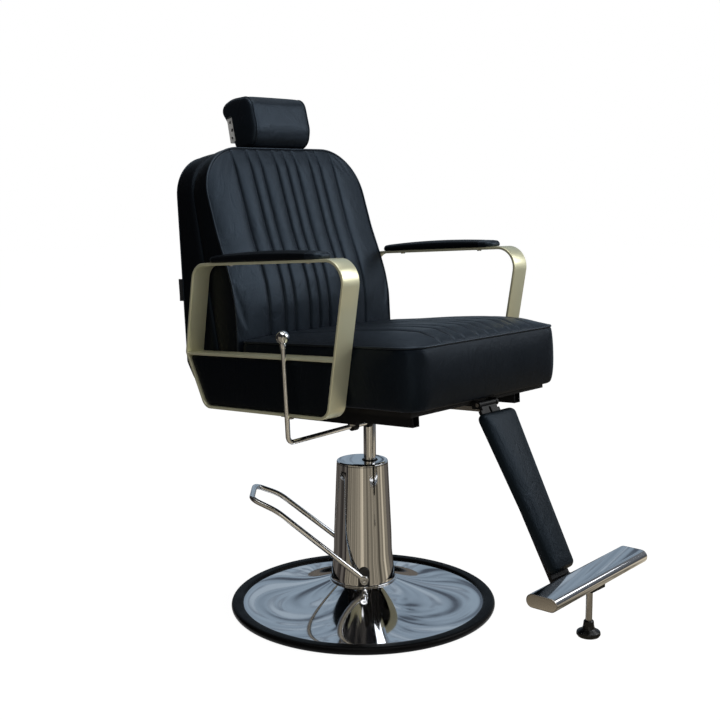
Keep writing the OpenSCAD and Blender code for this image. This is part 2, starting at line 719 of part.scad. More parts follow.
seat_crown_profile = [[-cushion_front, 0], [-cushion_front + 14, 0.42], [-cushion_front + 45, 0.86],
    [-cushion_front + 100, 1], [-cushion_front + 200, 0.86], [-20, 0.62], [cushion_rear - 40, 0.42],
    [cushion_rear, 0.2]];
module seat_cushion() {
    half = cushion_w / 2;
    corner = 42;
    cols = all_columns([half - 58, half - 30, half - 12, half - 3, half]);
    function top(x, s) =
        let (g = 1 - pow(abs(x) / half, 3.2), c = on_profile(seat_crown_profile, s))
        cushion_h + cushion_crown * c * g + 1 - (is_seam(x) ? channel_depth * min(1, 0.3 + c * g) : 0);
    function edge(s) = cushion_h;
    function foot(s) = 0;
    color(leather) in_seat_frame() quilted(cols, 11, half, -cushion_front, cushion_rear, corner, 20,
        function(x, s) top(x, s), function(s) edge(s), function(s) foot(s),
        [[2, 0.06], [4, 0.3], [5, 0.55], [3.5, 0.8], [0, 0.96], [-5, 1]]);
}

// ---- Arms: flat bar loops in the seat's side view, [y, z] ----
arm_lean = 0.232;       // how far the front and rear legs lean per height
arm_front_foot = -165.7;
arm_knee_y = 268;
function arm_front_y(z) = arm_front_foot - (z + arm_drop) * arm_lean;
function arm_rear_y(z) = arm_knee_y - (z - arm_mid) * arm_lean;
arm_corners = [
    [arm_front_y(-arm_drop), -arm_drop], [215, -arm_drop], [arm_knee_y, arm_mid],
    [arm_rear_y(arm_top), arm_top], [arm_front_y(arm_top), arm_top]];
arm_radii = [32, 28, 8, 42, 46];
arm_inner = inset(arm_corners, arm_bar_t);
arm_inner_radii = [for (r = arm_radii) max(2, r - arm_bar_t)];

module seat_side_profile(x, width) {
    // stands a [y, z] outline up at x and gives it a width along +X
    translate([x, 0, 0]) rotate([90, 0, 90]) linear_extrude(width) children();
}
module arm_frame(side) {
    x = side > 0 ? arm_gap / 2 : -arm_gap / 2 - arm_bar_w;
    color(gold) in_seat_frame() difference() {
        union() {
            seat_side_profile(x, arm_bar_w) difference() {
                polygon(rounded(arm_corners, arm_radii, 10));
                polygon(rounded(arm_inner, arm_inner_radii, 10));
            }
            seat_side_profile(x, arm_bar_w) intersection() {
                polygon(rounded(inset(arm_corners, 1), [for (r = arm_radii) max(2, r - 1)], 10));
                translate([-400, arm_mid - 5]) square([800, 5]);
            }
        }
        for (y = arm_screw_ys) translate([side * (arm_gap + arm_bar_w) / 2, y, arm_top - 20])
            cylinder(d = arm_screw_d, h = 30);
    }
}
arm_screw_d = 5;
arm_screw_ys = [-112, 122];

module arm_brackets() {
    color(black) in_seat_frame() for (s = [-1, 1], y = [-90, 60])
        translate([s > 0 ? rail_x + rail_w / 2 : -arm_gap / 2, y, -arm_drop])
            cube([arm_gap / 2 - rail_x - rail_w / 2, 36, arm_drop - board_t]);
}

// Lower field of the arm loop, closed by a padded panel
panel_corners = inset([
    [arm_front_y(-arm_drop), -arm_drop], [215, -arm_drop], [arm_knee_y, arm_mid],
    [arm_front_y(arm_mid), arm_mid]], arm_bar_t + soft_gap);
module side_panel(side) {
    inner = arm_gap / 2 + 3;
    depth = arm_bar_w - 6;
    radii = [arm_radii[0] - arm_bar_t, arm_radii[1] - arm_bar_t, 6, 6];
    outline = rounded(panel_corners, radii, 6);
    rings = [[0, 3], [3, 0], [depth - 4, 0], [depth - 1, 1.6], [depth + 1.5, 7], [depth + 3, 20]];
    color(leather) in_seat_frame() mirror([side > 0 ? 0 : 1, 0, 0])
        skin([for (r = rings)
            let (o = rounded(inset(panel_corners, r[1]), [for (q = radii) max(2, q - r[1])], 6))
            [for (p = o) [inner + r[0], p[0], p[1]]]]);
}

module arm_pad(side) {
    y0 = -162;
    half = arm_pad_w / 2;
    steps = 8;
    // share of the height, and how far the outline is drawn in there
    rings = [[0, 2.5], [0.16, 0.6], [0.42, 0], [0.68, 1.2], [0.88, 4.5], [0.97, 9], [1, 14]];
    left = [for (k = [1 : steps - 1]) [-half, y0 + arm_pad_l * (1 - k / steps)]];
    right = [for (k = [1 : steps - 1]) [half, y0 + arm_pad_l * k / steps]];
    corners = concat([[-half, y0], [half, y0]], right, [[half, y0 + arm_pad_l], [-half, y0 + arm_pad_l]], left);
    function pad_h(y) =
        let (t = (y - y0) / arm_pad_l) arm_pad_end_h + (arm_pad_mid_h - arm_pad_end_h) * 4 * t * (1 - t);
    function is_corner(p) = p[1] < y0 + 25 || p[1] > y0 + arm_pad_l - 25;
    color(leather) in_seat_frame() translate([side * (arm_gap + arm_bar_w) / 2, 0, arm_top])
        skin([for (r = rings) let (o = inset(corners, r[1]), m = len(o), q = max(3, 20 - r[1]))
            [for (i = [0 : m - 1], p = is_corner(o[i]) ?
                corner_arc(o[(i + m - 1) % m], o[i], o[(i + 1) % m], q, 4) : [o[i]])
                [p[0], p[1], r[0] * pad_h(p[1])]]]);
}

module arm_pad_screws() {
    color(steel) in_seat_frame() for (s = [-1, 1], y = arm_screw_ys)
        translate([s * (arm_gap + arm_bar_w) / 2, y, arm_top - arm_bar_t]) {
            translate([0, 0, -2.5]) cylinder(d = 10, h = 2.5);
            cylinder(d = arm_screw_d, h = arm_bar_t);
        }
}

// ---- Recline lever ----
lever_pivot = [0, -75, -59];
lever_inner_x = -78;
module lever_bracket() {
    tab_r = lever_d / 2 + 5;
    // [inner face, thickness] of the outer and the inner tab
    color(black) in_seat_frame() for (tab = [[-140, 14], [-92, 8]]) difference() {
        union() {
            translate([tab[0], lever_pivot[1], lever_pivot[2]]) rotate([0, 90, 0])
                cylinder(r = tab_r, h = tab[1]);
            translate([tab[0], lever_pivot[1] - tab_r, lever_pivot[2]])
                cube([tab[1], 2 * tab_r, rail_foot - mount_t - lever_pivot[2]]);
        }
        translate([tab[0] - 1, lever_pivot[1], lever_pivot[2]]) rotate([0, 90, 0])
            cylinder(r = lever_d / 2 + run_gap, h = tab[1] + 2);
    }
}
lever_top = [-lever_x + 4, lever_pivot[1] + 13, lever_pivot[2] + lever_h - ball_d / 2 - 3];
// Collar at the top of the lever, which the ball is screwed down on
module lever_collar(play) {
    translate(lever_top + [0, 0, -6]) rotate([-4, 0, 0]) cylinder(d = lever_d + 3 + 2 * play, h = 10.5);
}
module recline_lever() {
    // the rod drops a little on its way out, then the upright leans back and inwards
    start = [-146, lever_pivot[1], lever_pivot[2]];
    corner = [-lever_x - 9, lever_pivot[1], lever_pivot[2] - 5];
    path = rounded_path([start, corner, lever_top], 12, 7);
    color(chrome) in_seat_frame() {
        translate([start[0] - 4, lever_pivot[1], lever_pivot[2]]) rotate([0, 90, 0])
            cylinder(d = lever_d, h = lever_inner_x - start[0] + 4);
        round_bar(path, lever_d, 14, [0, 0, 1]);
        // finger that presses the strut's valve pin
        translate([lever_inner_x - 5, lever_pivot[1] - 4, lever_pivot[2] - 4]) cube([5, 8, 8]);
        lever_collar(0);
    }
}
module lever_ball() {
    color(chrome) in_seat_frame() difference() {
        translate([-lever_x + 5, lever_pivot[1] + 14, lever_pivot[2] + lever_h]) sphere(d = ball_d);
        lever_collar(0.05);
    }
}

// ---- Push bar and locking strut between the rails ----
module push_bar() {
    h = 11;
    color(steel) in_seat_frame() difference() {
        translate([push_x - push_w / 2, leg_slot[0] - 6, bar_z - h / 2])
            cube([push_w, back_slot[0] - leg_slot[0] + 12, h]);
        pin_slot(push_x, 2 * push_w, leg_slot);
        pin_slot(push_x, 2 * push_w, back_slot);
    }
}
strut_rod_r = 4;
module strut_cylinder() {
    r = 8.5;
    y0 = -105;
    l = 200;
    color(black) in_seat_frame() difference() {
        union() {
            translate([strut_x, y0, bar_z]) rotate([-90, 0, 0]) cylinder(r = r, h = l);
            // saddles that sit on the mounting plate
            for (y = [y0 + 10, y0 + l - 26])
                translate([strut_x - 13, y, rail_foot]) cube([26, 16, bar_z - rail_foot]);
        }
        translate([strut_x, y0 + 30, bar_z]) rotate([-90, 0, 0])
            cylinder(r = strut_rod_r + run_gap, h = l);
    }
}
module strut_rod() {
    color(chrome) in_seat_frame() difference() {
        union() {
            translate([strut_x, -40, bar_z]) rotate([-90, 0, 0])
                cylinder(r = strut_rod_r, h = back_slot[0] + 36);
            translate([strut_x - 3, back_slot[0] - 8, bar_z - 5.5]) cube([6, 14, 11]);
        }
        pin_slot(strut_x, 20, back_slot);
    }
}

// ---- Back: built along its board, [x, y behind the board's front, z up the board] ----
back_foot = [0, 215, 525 - seat_top_z];        // foot of the board's front face in chair coordinates
module in_back_frame() {
    in_chair_frame() translate([0, back_foot[1], back_foot[2] + seat_top_z])
        rotate([-back_lean, 0, 0]) children();
}
// Front of the sewn edge and rear face, measured from the board's front face
back_front_profile = [[0, 59], [80, 74], [150, 84], [195, 83], [240, 76], [313, 61], [403, 50], [508, 41]];
function back_rear(s) = 135 - 0.171 * s;
module back_cushion() {
    half = back_w / 2;
    cols = all_columns([half - 62, half - 34, half - 14, half - 4, half]);
    crown_profile = [[0, 0.1], [60, 0.35], [130, 0.8], [200, 1], [400, 1], [back_h - 40, 0.8], [back_h, 0.2]];
    function edge(s) = on_profile(back_front_profile, s);
    function top(x, s) =
        let (g = 1 - pow(abs(x) / half, 4), c = on_profile(crown_profile, s))
        edge(s) + back_crown * c * g + 1 - (is_seam(x) ? channel_depth * min(1, 0.35 + c * g) : 0);
    color(leather) in_back_frame() rotate([90, 0, 0]) quilted(cols, 13, half, 0, back_h, 16, back_corner,
        function(x, s) top(x, s), function(s) edge(s), function(s) 0,
        [[1.5, 0.1], [2.5, 0.4], [2.5, 0.7], [1.5, 1]]);
}
function back_outline(d, n, r = back_corner) = rounded(inset(
    [[-back_w / 2, 0], [back_w / 2, 0], [back_w / 2, back_h], [-back_w / 2, back_h]], d),
    [max(3, 16 - d), max(3, 16 - d), r - d, r - d], n);
board_inset = 12;
module back_board() {
    color(stained) in_back_frame() translate([0, back_board_t, 0]) rotate([90, 0, 0])
        linear_extrude(back_board_t) polygon(back_outline(board_inset, 10));
}
module back_rear_pad() {
    // share of the depth, how far the outline is drawn in there, and how much tighter its corners are
    rings = [[1, 11, 30], [0.93, 2, 26], [0.7, -1, 20], [0.3, -2.5, 8], [0, -1.5, 0]];
    guide_w = post_w + 12.6;
    color(leather) in_back_frame() difference() {
        skin([for (r = rings) [for (p = back_outline(r[1], 9, back_corner - r[2]))
            [p[0], r[0] * back_rear(p[1]), p[1]]]]);
        translate([0, back_board_t + soft_gap, 0]) rotate([90, 0, 0])
            linear_extrude(back_board_t + 10) polygon(back_outline(board_inset - soft_gap, 10));
        // pocket for the headrest's guide
        translate([-guide_w / 2, back_board_t - 1, back_h - guide_l - 12])
            cube([guide_w, guide_t + 1.3, guide_l + 60]);
        // slanted foot of the rear pad
        translate([-back_w, 0, 0]) rotate([90, 0, 90]) linear_extrude(2 * back_w)
            polygon([[95, -30], [160, -30], [160, 150], [95, -1]]);
        // slots for the steel arms
        for (s = [-1, 1]) translate([s * (arm_plate_x + arm_plate_t / 2) - arm_plate_t / 2 - 0.4,
            back_board_t - 1, -40]) cube([arm_plate_t + 0.8, arm_plate_w + 1.4, arm_plate_l + 40.4]);
    }
}

arm_plate_w = 26;
arm_plate_l = 175;
// Back pivot seen from the board's frame
function seat_to_chair(p) = [p[0], p[1] * cos(seat_slope) + p[2] * sin(seat_slope),
    -p[1] * sin(seat_slope) + p[2] * cos(seat_slope)];
function chair_to_back(p) =
    let (dy = p[1] - back_foot[1], dz = p[2] - back_foot[2])
    [p[0], dy * cos(back_lean) - dz * sin(back_lean), dy * sin(back_lean) + dz * cos(back_lean)];
pivot_in_back = chair_to_back(seat_to_chair(back_pivot));
module back_arms() {
    color(black) in_back_frame() for (s = [0, 1]) mirror([s, 0, 0]) difference() {
        union() {
            translate([arm_plate_x, back_board_t, -2]) cube([arm_plate_t, arm_plate_w, arm_plate_l]);
            translate([arm_plate_x, 0, 0]) rotate([90, 0, 90]) linear_extrude(arm_plate_t) polygon([
                [pivot_in_back[1] - 14, pivot_in_back[2] + 4], [pivot_in_back[1] + 12, pivot_in_back[2] - 8],
                [back_board_t + arm_plate_w, -14], [back_board_t + arm_plate_w, 0],
                [back_board_t, 0], [back_board_t, -8]]);
            translate([arm_plate_x, pivot_in_back[1], pivot_in_back[2]]) rotate([0, 90, 0])
                cylinder(r = 14, h = arm_plate_t);
        }
        translate([arm_plate_x - 1, pivot_in_back[1], pivot_in_back[2]]) rotate([0, 90, 0])
            cylinder(r = hinge_pin_r + run_gap, h = arm_plate_t + 2);
    }
}

// Cross shaft on the back's hinge axis with a crank for each sliding bar
module crank(x, half_gap, centre, radius, swing) {
    // two cheeks and a pin; the crank hangs swing degrees behind straight down
    cheek = 4;
    cheek_w = 9;
    boss_over = 0.4;
    translate([x, centre[1], centre[2]]) rotate([swing, 0, 0]) {
        for (s = [-1, 1]) translate([s * (half_gap + cheek / 2), 0, -radius]) {
            rotate([0, 90, 0]) cylinder(r = 5, h = cheek + 2 * boss_over, center = true);
            translate([-cheek / 2, -cheek_w / 2, 0]) cube([cheek, cheek_w, radius]);
        }
        translate([0, 0, -radius]) rotate([0, 90, 0])
            cylinder(r = crank_pin_r, h = 2 * half_gap + 2 * cheek, center = true);
    }
}
module back_cross_shaft() {
    tube_r = 8;
    color(black) in_seat_frame() {
        translate([-arm_plate_x, back_pivot[1], back_pivot[2]]) rotate([0, 90, 0])
            cylinder(r = tube_r, h = 2 * arm_plate_x);
        crank(push_x, push_w / 2 + 1.5, back_pivot, crank_back, recline_travel / 2);
        crank(strut_x, 5, back_pivot, crank_back, recline_travel / 2);
    }
}

// ---- Headrest, in the back's frame ----
guide_t = post_t + 6.4;
guide_l = 130;
post_y = back_board_t + guide_t / 2;
module headrest_guide() {
    w = post_w + 12;
    color(black) in_back_frame() difference() {
        translate([-w / 2, back_board_t, back_h - guide_l]) cube([w, guide_t, guide_l]);
        translate([-post_w / 2 - 0.1, post_y - post_t / 2 - 0.1, back_h - guide_l - 1])
            cube([post_w + 0.2, post_t + 0.2, guide_l + 2]);
    }
}

side_tag_h = 50;
module side_tag() {
    s = 188;
    color(black) in_back_frame() translate([-back_w / 2 + 9, back_rear(s) - 3, s]) rotate([9.7, 0, 0])
        cube([1.8, 23, side_tag_h]);
}

head_rise = 58;             // hinge pin above the backrest's top
head_z = back_h + head_rise;
head_pin = [0, post_y, head_z];
head_pin_r = 4;
knuckle_r = 8;
module headrest_post() {
    foot = back_h - guide_l - 10;
    color(steel) in_back_frame() difference() {
        union() {
            translate([-post_w / 2, post_y - post_t / 2, foot]) cube([post_w, post_t, head_pin[2] - foot]);
            translate([-post_w / 2, head_pin[1], head_pin[2]]) rotate([0, 90, 0])
                cylinder(r = knuckle_r, h = post_w);
        }
        translate([0, head_pin[1], head_pin[2]]) rotate([0, 90, 0])
            cylinder(r = head_pin_r + run_gap, h = post_w + 2, center = true);
    }
}

channel_lo = head_z - 28;
channel_hi = head_z + 28;
channel_front = 5;
channel_rear = 31;
// Side view of the cushion as [y, height from the pin], anticlockwise
head_side = [[-54, -53.5], [12, -53.5], [19, -28], [24, 2], [34, 32], [49, 63], [-48, 63], [-66, -16]];
head_corners = [for (p = head_side) [p[0], head_z + p[1]]];
head_radii = [14, 8, 12, 60, 30, 12, 24, 34];
module headrest_cushion() {
    half = head_w / 2;
    rings = [[-half, 12], [-half + 3, 4.5], [-half + 10, 1], [-half + 26, 0], [half - 26, 0],
        [half - 10, 1], [half - 3, 4.5], [half, 12]];
    color(leather) in_back_frame() difference() {
        skin([for (r = rings)
            let (o = rounded(inset(head_corners, r[1]), [for (q = head_radii) max(2, q - r[1])], 4))
            [for (p = o) [r[0], p[0], p[1]]]]);
        // groove for the steel channel
        translate([-head_w, channel_front - soft_gap, channel_lo - soft_gap])
            cube([2 * head_w, 80, channel_hi - channel_lo + 2 * soft_gap]);
        // room for the post as the headrest tilts
        translate([-post_w / 2 - 6, 1, channel_lo - 56]) cube([post_w + 12, 60, 56]);
    }
}
module headrest_channel() {
    half = head_w / 2 - 6;
    wall = 2.5;
    color(steel) in_back_frame() difference() {
        translate([-half, channel_front, channel_lo])
            cube([2 * half, channel_rear - channel_front, channel_hi - channel_lo]);
        translate([-half + wall, channel_front + wall, channel_lo + wall])
            cube([2 * (half - wall), 60, channel_hi - channel_lo - 2 * wall]);
        translate([-post_w / 2 - 6, channel_front + wall, channel_lo - 1])
            cube([post_w + 12, 60, wall + 2]);
        // bore for the hinge pin and the screw holes in both end plates
        translate([0, head_pin[1], head_pin[2]]) rotate([0, 90, 0])
            cylinder(r = head_pin_r, h = 2 * half + 2, center = true);
    }
}
module headrest_hinge_pin() {
    half = head_w / 2 - 6;
    color(chrome) in_back_frame() {
        translate([0, head_pin[1], head_pin[2]]) rotate([0, 90, 0])
            cylinder(r = head_pin_r, h = 2 * half, center = true);
        for (s = [-1, 1], z = [-18, 18]) translate([s * (half + 1), head_pin[1] + 1, head_pin[2] + z])
            rotate([0, 90, 0]) cylinder(r = 3.2, h = 2, center = true);
    }
}

// ---- Leg rest: built hanging straight down from its pivot ----
module in_leg_frame() {
    in_seat_frame() translate(leg_pivot) rotate([seat_slope - leg_angle, 0, 0]) children();
}
calf_top = -22;
leg_bar_end = -377;
leg_bar_foot_y = -508;
foot_bar_turn = 3;         // the foot bar stands slightly turned on its plate
module leg_bar() {
    barrel_half = lug_x - soft_gap;
    barrel_r = 7;
    tongue_w = 46;
    tongue_z = foot_bar_z - footbar_h / 2 - leg_bar_t;
    slot_w = push_w + 2.6;
    color(black) difference() {
        union() {
            difference() {
                union() {
                    in_leg_frame() {
                        rotate([0, 90, 0]) cylinder(r = barrel_r, h = 2 * barrel_half, center = true);
                        translate([-leg_bar_w / 2, -leg_bar_t / 2, leg_bar_end])
                            cube([leg_bar_w, leg_bar_t, -leg_bar_end - 13]);
                        translate([-barrel_half, -leg_bar_t / 2, -14]) cube([2 * barrel_half, leg_bar_t, 14]);
                    }
                    // foot of the bar, turned forward under the foot bar
                    in_chair_frame() {
                        translate([-leg_bar_w / 2 + 1, foot_bar_y + footbar_w / 2, tongue_z])
                            cube([leg_bar_w - 2, leg_bar_foot_y - foot_bar_y - footbar_w / 2, leg_bar_t]);
                        translate([-tongue_w / 2, foot_bar_y - 20, tongue_z])
                            cube([tongue_w, 22 + footbar_w / 2, leg_bar_t]);
                    }
                }
                // gap in the bar for the end of the push bar
                in_seat_frame() translate([push_x - slot_w / 2, leg_pivot[1] - 14, bar_z - 8])
                    cube([slot_w, 40, 15]);
            }
            in_seat_frame() crank(push_x, push_w / 2 + 1.5, leg_pivot, crank_leg, leg_travel / 2);
        }
        in_leg_frame() rotate([0, 90, 0])
            cylinder(r = leg_pin_r + run_gap, h = 2 * barrel_half + 2, center = true);
    }
}

module calf_pad() {
    corners = [[-calf_foot_w / 2, calf_top - calf_l], [calf_foot_w / 2, calf_top - calf_l],
        [calf_top_w / 2, calf_top], [-calf_top_w / 2, calf_top]];
    radii = [16, 16, 12, 12];
    rear = -leg_bar_t / 2;
    // depth in front of the flat bar, and how far the outline is drawn in there
    rings = [[0, 2], [3, 0.4], [0.55 * calf_t, 0], [0.8 * calf_t, 2.5], [0.94 * calf_t, 7], [calf_t, 16]];
    color(leather) in_leg_frame() skin([for (r = rings)
        let (o = rounded(inset(corners, r[1]), [for (q = radii) max(2, q - 0.5 * r[1])], 6))
        [for (p = o) [p[0], rear - r[0], p[1]]]]);
}

foot_bar_y = -575;
foot_bar_z = 200;
module oval(w, h) {
    square([w - h, h], center = true);
    for (s = [-1, 1]) translate([s * (w - h) / 2, 0]) circle(d = h);
}
module in_foot_bar_frame() {
    in_chair_frame() translate([0, foot_bar_y, foot_bar_z]) rotate([0, 0, foot_bar_turn]) children();
}
module foot_bar() {
    wall = 2;
    color(chrome) in_foot_bar_frame() difference() {
        translate([-footbar_l / 2, 0, 0]) rotate([90, 0, 90]) linear_extrude(footbar_l)
            oval(footbar_w, footbar_h);
        translate([-footbar_l / 2 - 1, 0, 0]) rotate([90, 0, 90]) linear_extrude(footbar_l + 2)
            oval(footbar_w - 2 * wall, footbar_h - 2 * wall);
    }
}
foot_rod_z = 104;
module foot_rod() {
    color(steel) in_chair_frame() translate([0, foot_bar_y, foot_rod_z])
        cylinder(d = foot_rod_d, h = foot_bar_z - footbar_h / 2 - leg_bar_t - foot_rod_z);
}
module foot_bar_caps() {
    color(chrome) in_foot_bar_frame() for (s = [0, 1]) mirror([s, 0, 0])
        translate([footbar_l / 2, 0, 0]) rotate([90, 0, 90]) {
            linear_extrude(2.5) oval(footbar_w, footbar_h);
            translate([0, 0, -8]) linear_extrude(8) oval(footbar_w - 4.1, footbar_h - 4.1);
        }
}
module rubber_foot() {
    foot_z = 82;
    color(black) in_chair_frame() translate([0, foot_bar_y, foot_z]) difference() {
        rotate_extrude() polygon([[0, 0], [20, 0], [23, 3], [23, 7], [20, 10], [13, 15], [10.5, 21],
            [10, 30], [8.5, 32], [0, 32]]);
        translate([0, 0, foot_rod_z - foot_z]) cylinder(d = foot_rod_d, h = 40);
    }
}

base_ring();
base_dish();
base_plate();
pump_body();
pump_cover();
pump_cap();
ram_seal();
ram_bush();
cover_plug();
pedal_bezels();
foot_bolts();
pump_plunger();
plunger_spring();
pedal_lever();
pedal_shaft();
pedal_bolts();
ram();
ram_piston();
thrust_washer();
swivel_socket();
mount_plate();
seat_rails();
frame_bolts();
back_hinge_ears();
back_hinge_pins();
leg_hinge_bracket();
leg_hinge_pin();
seat_board();
seat_cushion();
arm_frame(1);  // left_arm
arm_frame(-1);  // right_arm
arm_brackets();
side_panel(1);  // left_side_panel
side_panel(-1);  // right_side_panel
arm_pad(1);  // left_arm_pad
arm_pad(-1);  // right_arm_pad
arm_pad_screws();
lever_bracket();
strut_cylinder();
recline_lever();
lever_ball();
push_bar();
strut_rod();
back_cushion();
back_board();
back_rear_pad();
back_arms();
back_cross_shaft();
headrest_guide();
side_tag();
headrest_post();
headrest_cushion();
headrest_channel();
headrest_hinge_pin();
leg_bar();
calf_pad();
foot_bar();
foot_bar_caps();
foot_rod();
rubber_foot();
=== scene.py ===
"""Looks of the hydraulic barber chair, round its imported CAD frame. Metres, +Z up, the sitter faces -Y."""
import json
import math

import bmesh
import bpy
import numpy as np
from mathutils import Matrix, Vector


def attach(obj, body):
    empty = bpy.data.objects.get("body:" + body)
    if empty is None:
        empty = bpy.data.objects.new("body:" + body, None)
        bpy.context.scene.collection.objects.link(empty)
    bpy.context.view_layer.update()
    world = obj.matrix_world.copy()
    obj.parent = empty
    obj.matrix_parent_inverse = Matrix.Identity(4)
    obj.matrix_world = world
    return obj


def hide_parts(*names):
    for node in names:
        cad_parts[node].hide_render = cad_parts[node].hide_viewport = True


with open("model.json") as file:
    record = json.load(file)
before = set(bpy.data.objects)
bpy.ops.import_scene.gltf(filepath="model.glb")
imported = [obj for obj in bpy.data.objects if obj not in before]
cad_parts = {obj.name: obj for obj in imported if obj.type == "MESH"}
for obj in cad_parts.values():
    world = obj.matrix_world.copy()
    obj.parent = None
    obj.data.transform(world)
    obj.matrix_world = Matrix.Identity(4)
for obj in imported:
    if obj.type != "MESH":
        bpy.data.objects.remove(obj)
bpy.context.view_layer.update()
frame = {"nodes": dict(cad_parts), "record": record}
rad = math.radians

# ---- frames, in millimetres
def shift(x, y, z):
    return np.array([[1, 0, 0, x], [0, 1, 0, y], [0, 0, 1, z], [0, 0, 0, 1.0]])


def turn_x(a):
    c, s = math.cos(rad(a)), math.sin(rad(a))
    return np.array([[1, 0, 0, 0], [0, c, -s, 0], [0, s, c, 0], [0, 0, 0, 1.0]])


def turn_z(a):
    c, s = math.cos(rad(a)), math.sin(rad(a))
    return np.array([[c, -s, 0, 0], [s, c, 0, 0], [0, 0, 1, 0], [0, 0, 0, 1.0]])


# In degrees: the seat's slope from level, and how far the back and the leg rest lean from upright
SLOPE, LEAN, LEG_ANGLE = 3.6, 12.0, 29.5
PUMP_HEADING, FOOT_TURN = 135, 3
RAM_BACK = 17.0
SEAT_LEVEL, FOOT_LEVEL, STEM_Y = 500, 200, -575
BACK_FOOT = (0, 215, 525)
LEG_HINGE = (0, -324, -14)
BASE = np.eye(4)
PUMP = turn_z(PUMP_HEADING)
# the ram stands behind the pump's middle, and the chair is centred on it
CHAIR = shift(*np.round(PUMP @ [-RAM_BACK, 0, 0, 1], 4)[:3])
SEAT = CHAIR @ shift(0, 0, SEAT_LEVEL) @ turn_x(-SLOPE)
BACK = CHAIR @ shift(*BACK_FOOT) @ turn_x(-LEAN)
LEG = SEAT @ shift(*LEG_HINGE) @ turn_x(SLOPE - LEG_ANGLE)
STEM = CHAIR @ shift(0, STEM_Y, 0)
FOOT = STEM @ shift(0, 0, FOOT_LEVEL) @ turn_z(FOOT_TURN)


def place(m, pts):
    """Points in millimetres of frame m, as world metres."""
    p = np.asarray(pts, float).reshape(-1, 3)
    return (p @ m[:3, :3].T + m[:3, 3]) / 1000


def turned(m, v):
    """Directions of frame m, as world directions."""
    return np.asarray(v, float) @ m[:3, :3].T


# ---- node materials
ONE = WHITE = (1, 1, 1)
BLACK = (0, 0, 0)


def wire(nt, n, *inputs, **values):
    """Fills a node's inputs, by name or place, with sockets or values. Lower-case names are its settings."""
    for key, v in [*values.items(), *enumerate(inputs)]:
        if isinstance(key, str) and key.islower():
            setattr(n, key, v)
        elif v is not None:
            socket = n.inputs[key.replace("_", " ") if isinstance(key, str) else key]
            if isinstance(v, bpy.types.NodeSocket):
                nt.links.new(v, socket)
            else:
                socket.default_value = v
    return n


def node(nt, kind, *inputs, **values):
    return wire(nt, nt.nodes.new(kind), *inputs, **values)


def ramp(nt, source, stops, blend="LINEAR"):
    """A colour for each value of source. stops: (value, colour)."""
    n = node(nt, "ShaderNodeValToRGB", source)
    elements = n.color_ramp.elements
    while len(elements) < len(stops):
        elements.new(0.5)
    for e, (value, colour) in zip(elements, stops):
        e.position, e.color = value, (*colour, 1)
    n.color_ramp.interpolation = blend
    return n.outputs["Color"]


def relief(nt, spot, kind, scale):
    """Height of one relief layer: the cells of hide, its creases, a weave or plain noise."""
    if kind == "cells":
        t = node(nt, "ShaderNodeTexVoronoi", feature="DISTANCE_TO_EDGE", Vector=spot, Scale=scale)
        return ramp(nt, t.outputs["Distance"], [(0.0, BLACK), (0.22, WHITE)])
    if kind == "creases":
        t = node(nt, "ShaderNodeTexNoise", Vector=spot, Scale=scale, Detail=3.0, Distortion=1.4)
        return ramp(nt, t.outputs["Fac"], [(0.47, BLACK), (0.53, WHITE)], "EASE")
    if kind == "weave":
        return node(nt, "ShaderNodeTexWave", Vector=spot, Scale=scale, Distortion=0.6).outputs["Fac"]
    return node(nt, "ShaderNodeTexNoise", Vector=spot, Scale=scale, Detail=4.0, Roughness=0.6).outputs["Fac"]


def surface(name, base, rough, metal=0.0, spec=0.5, tint=0.12, tint_scale=9.0, rough_var=0.06,
            rough_scale=6.0, grain=(), sheen=0.0, spec_tint=WHITE):
    """Principled material whose colour, roughness and relief come from noise in object space.
    grain: (kind, scale, depth in m, strength, stretch) relief layers."""
    m = bpy.data.materials.new(name)
    m.use_nodes = True
    nt = m.node_tree
    spot = node(nt, "ShaderNodeTexCoord").outputs["Object"]
    clouds = node(nt, "ShaderNodeTexNoise", Vector=spot, Scale=tint_scale, Detail=4.0, Roughness=0.6)
    shades = [(0.3, [c * (1 - tint) for c in base]), (0.72, [min(1, c * (1 + tint)) for c in base])]
    wear = node(nt, "ShaderNodeTexNoise", Vector=spot, Scale=rough_scale, Detail=5.0, Roughness=0.65)
    spread = node(nt, "ShaderNodeMapRange", Value=wear.outputs["Fac"], From_Min=0.3, From_Max=0.7,
                  To_Min=max(0.02, rough - rough_var), To_Max=rough + rough_var)
    normal = None
    for kind, scale, depth, strength, stretch in grain:
        stretched = node(nt, "ShaderNodeMapping", Vector=spot, Scale=stretch).outputs["Vector"]
        bump = node(nt, "ShaderNodeBump", Strength=strength, Distance=depth, Normal=normal,
                    Height=relief(nt, stretched, kind, scale))
        normal = bump.outputs["Normal"]
    wire(nt, nt.nodes["Principled BSDF"], Base_Color=ramp(nt, clouds.outputs["Fac"], shades), Normal=normal,
         Roughness=spread.outputs["Result"], Metallic=metal, Specular_IOR_Level=spec,
         Specular_Tint=(*spec_tint, 1), Sheen_Weight=sheen, Sheen_Roughness=0.4)
    return m


def fine(scale, depth, strength, stretch=ONE):
    """One relief layer of noise."""
    return [("noise", scale, depth, strength, stretch)]


# blue tint of the sheen on the leather and the piping: a painted blue reflection of the light
PAINTED_BLUE_SHEEN = (0.55, 0.76, 1.0)
HIDE = [("cells", 620, 0.00022, 0.35, ONE), *fine(160, 0.0003, 0.25),
        ("creases", 13, 0.0016, 0.16, (1, 1, 0.6)), *fine(38, 0.0011, 0.20), *fine(9, 0.004, 0.12)]


def leather(name, base, rough, spec, **more):
    """A cover of blue-black hide, whose sheen is tinted blue: a painted blue reflection."""
    return surface(name, base, rough, spec=spec, spec_tint=PAINTED_BLUE_SHEEN, grain=HIDE, **more)


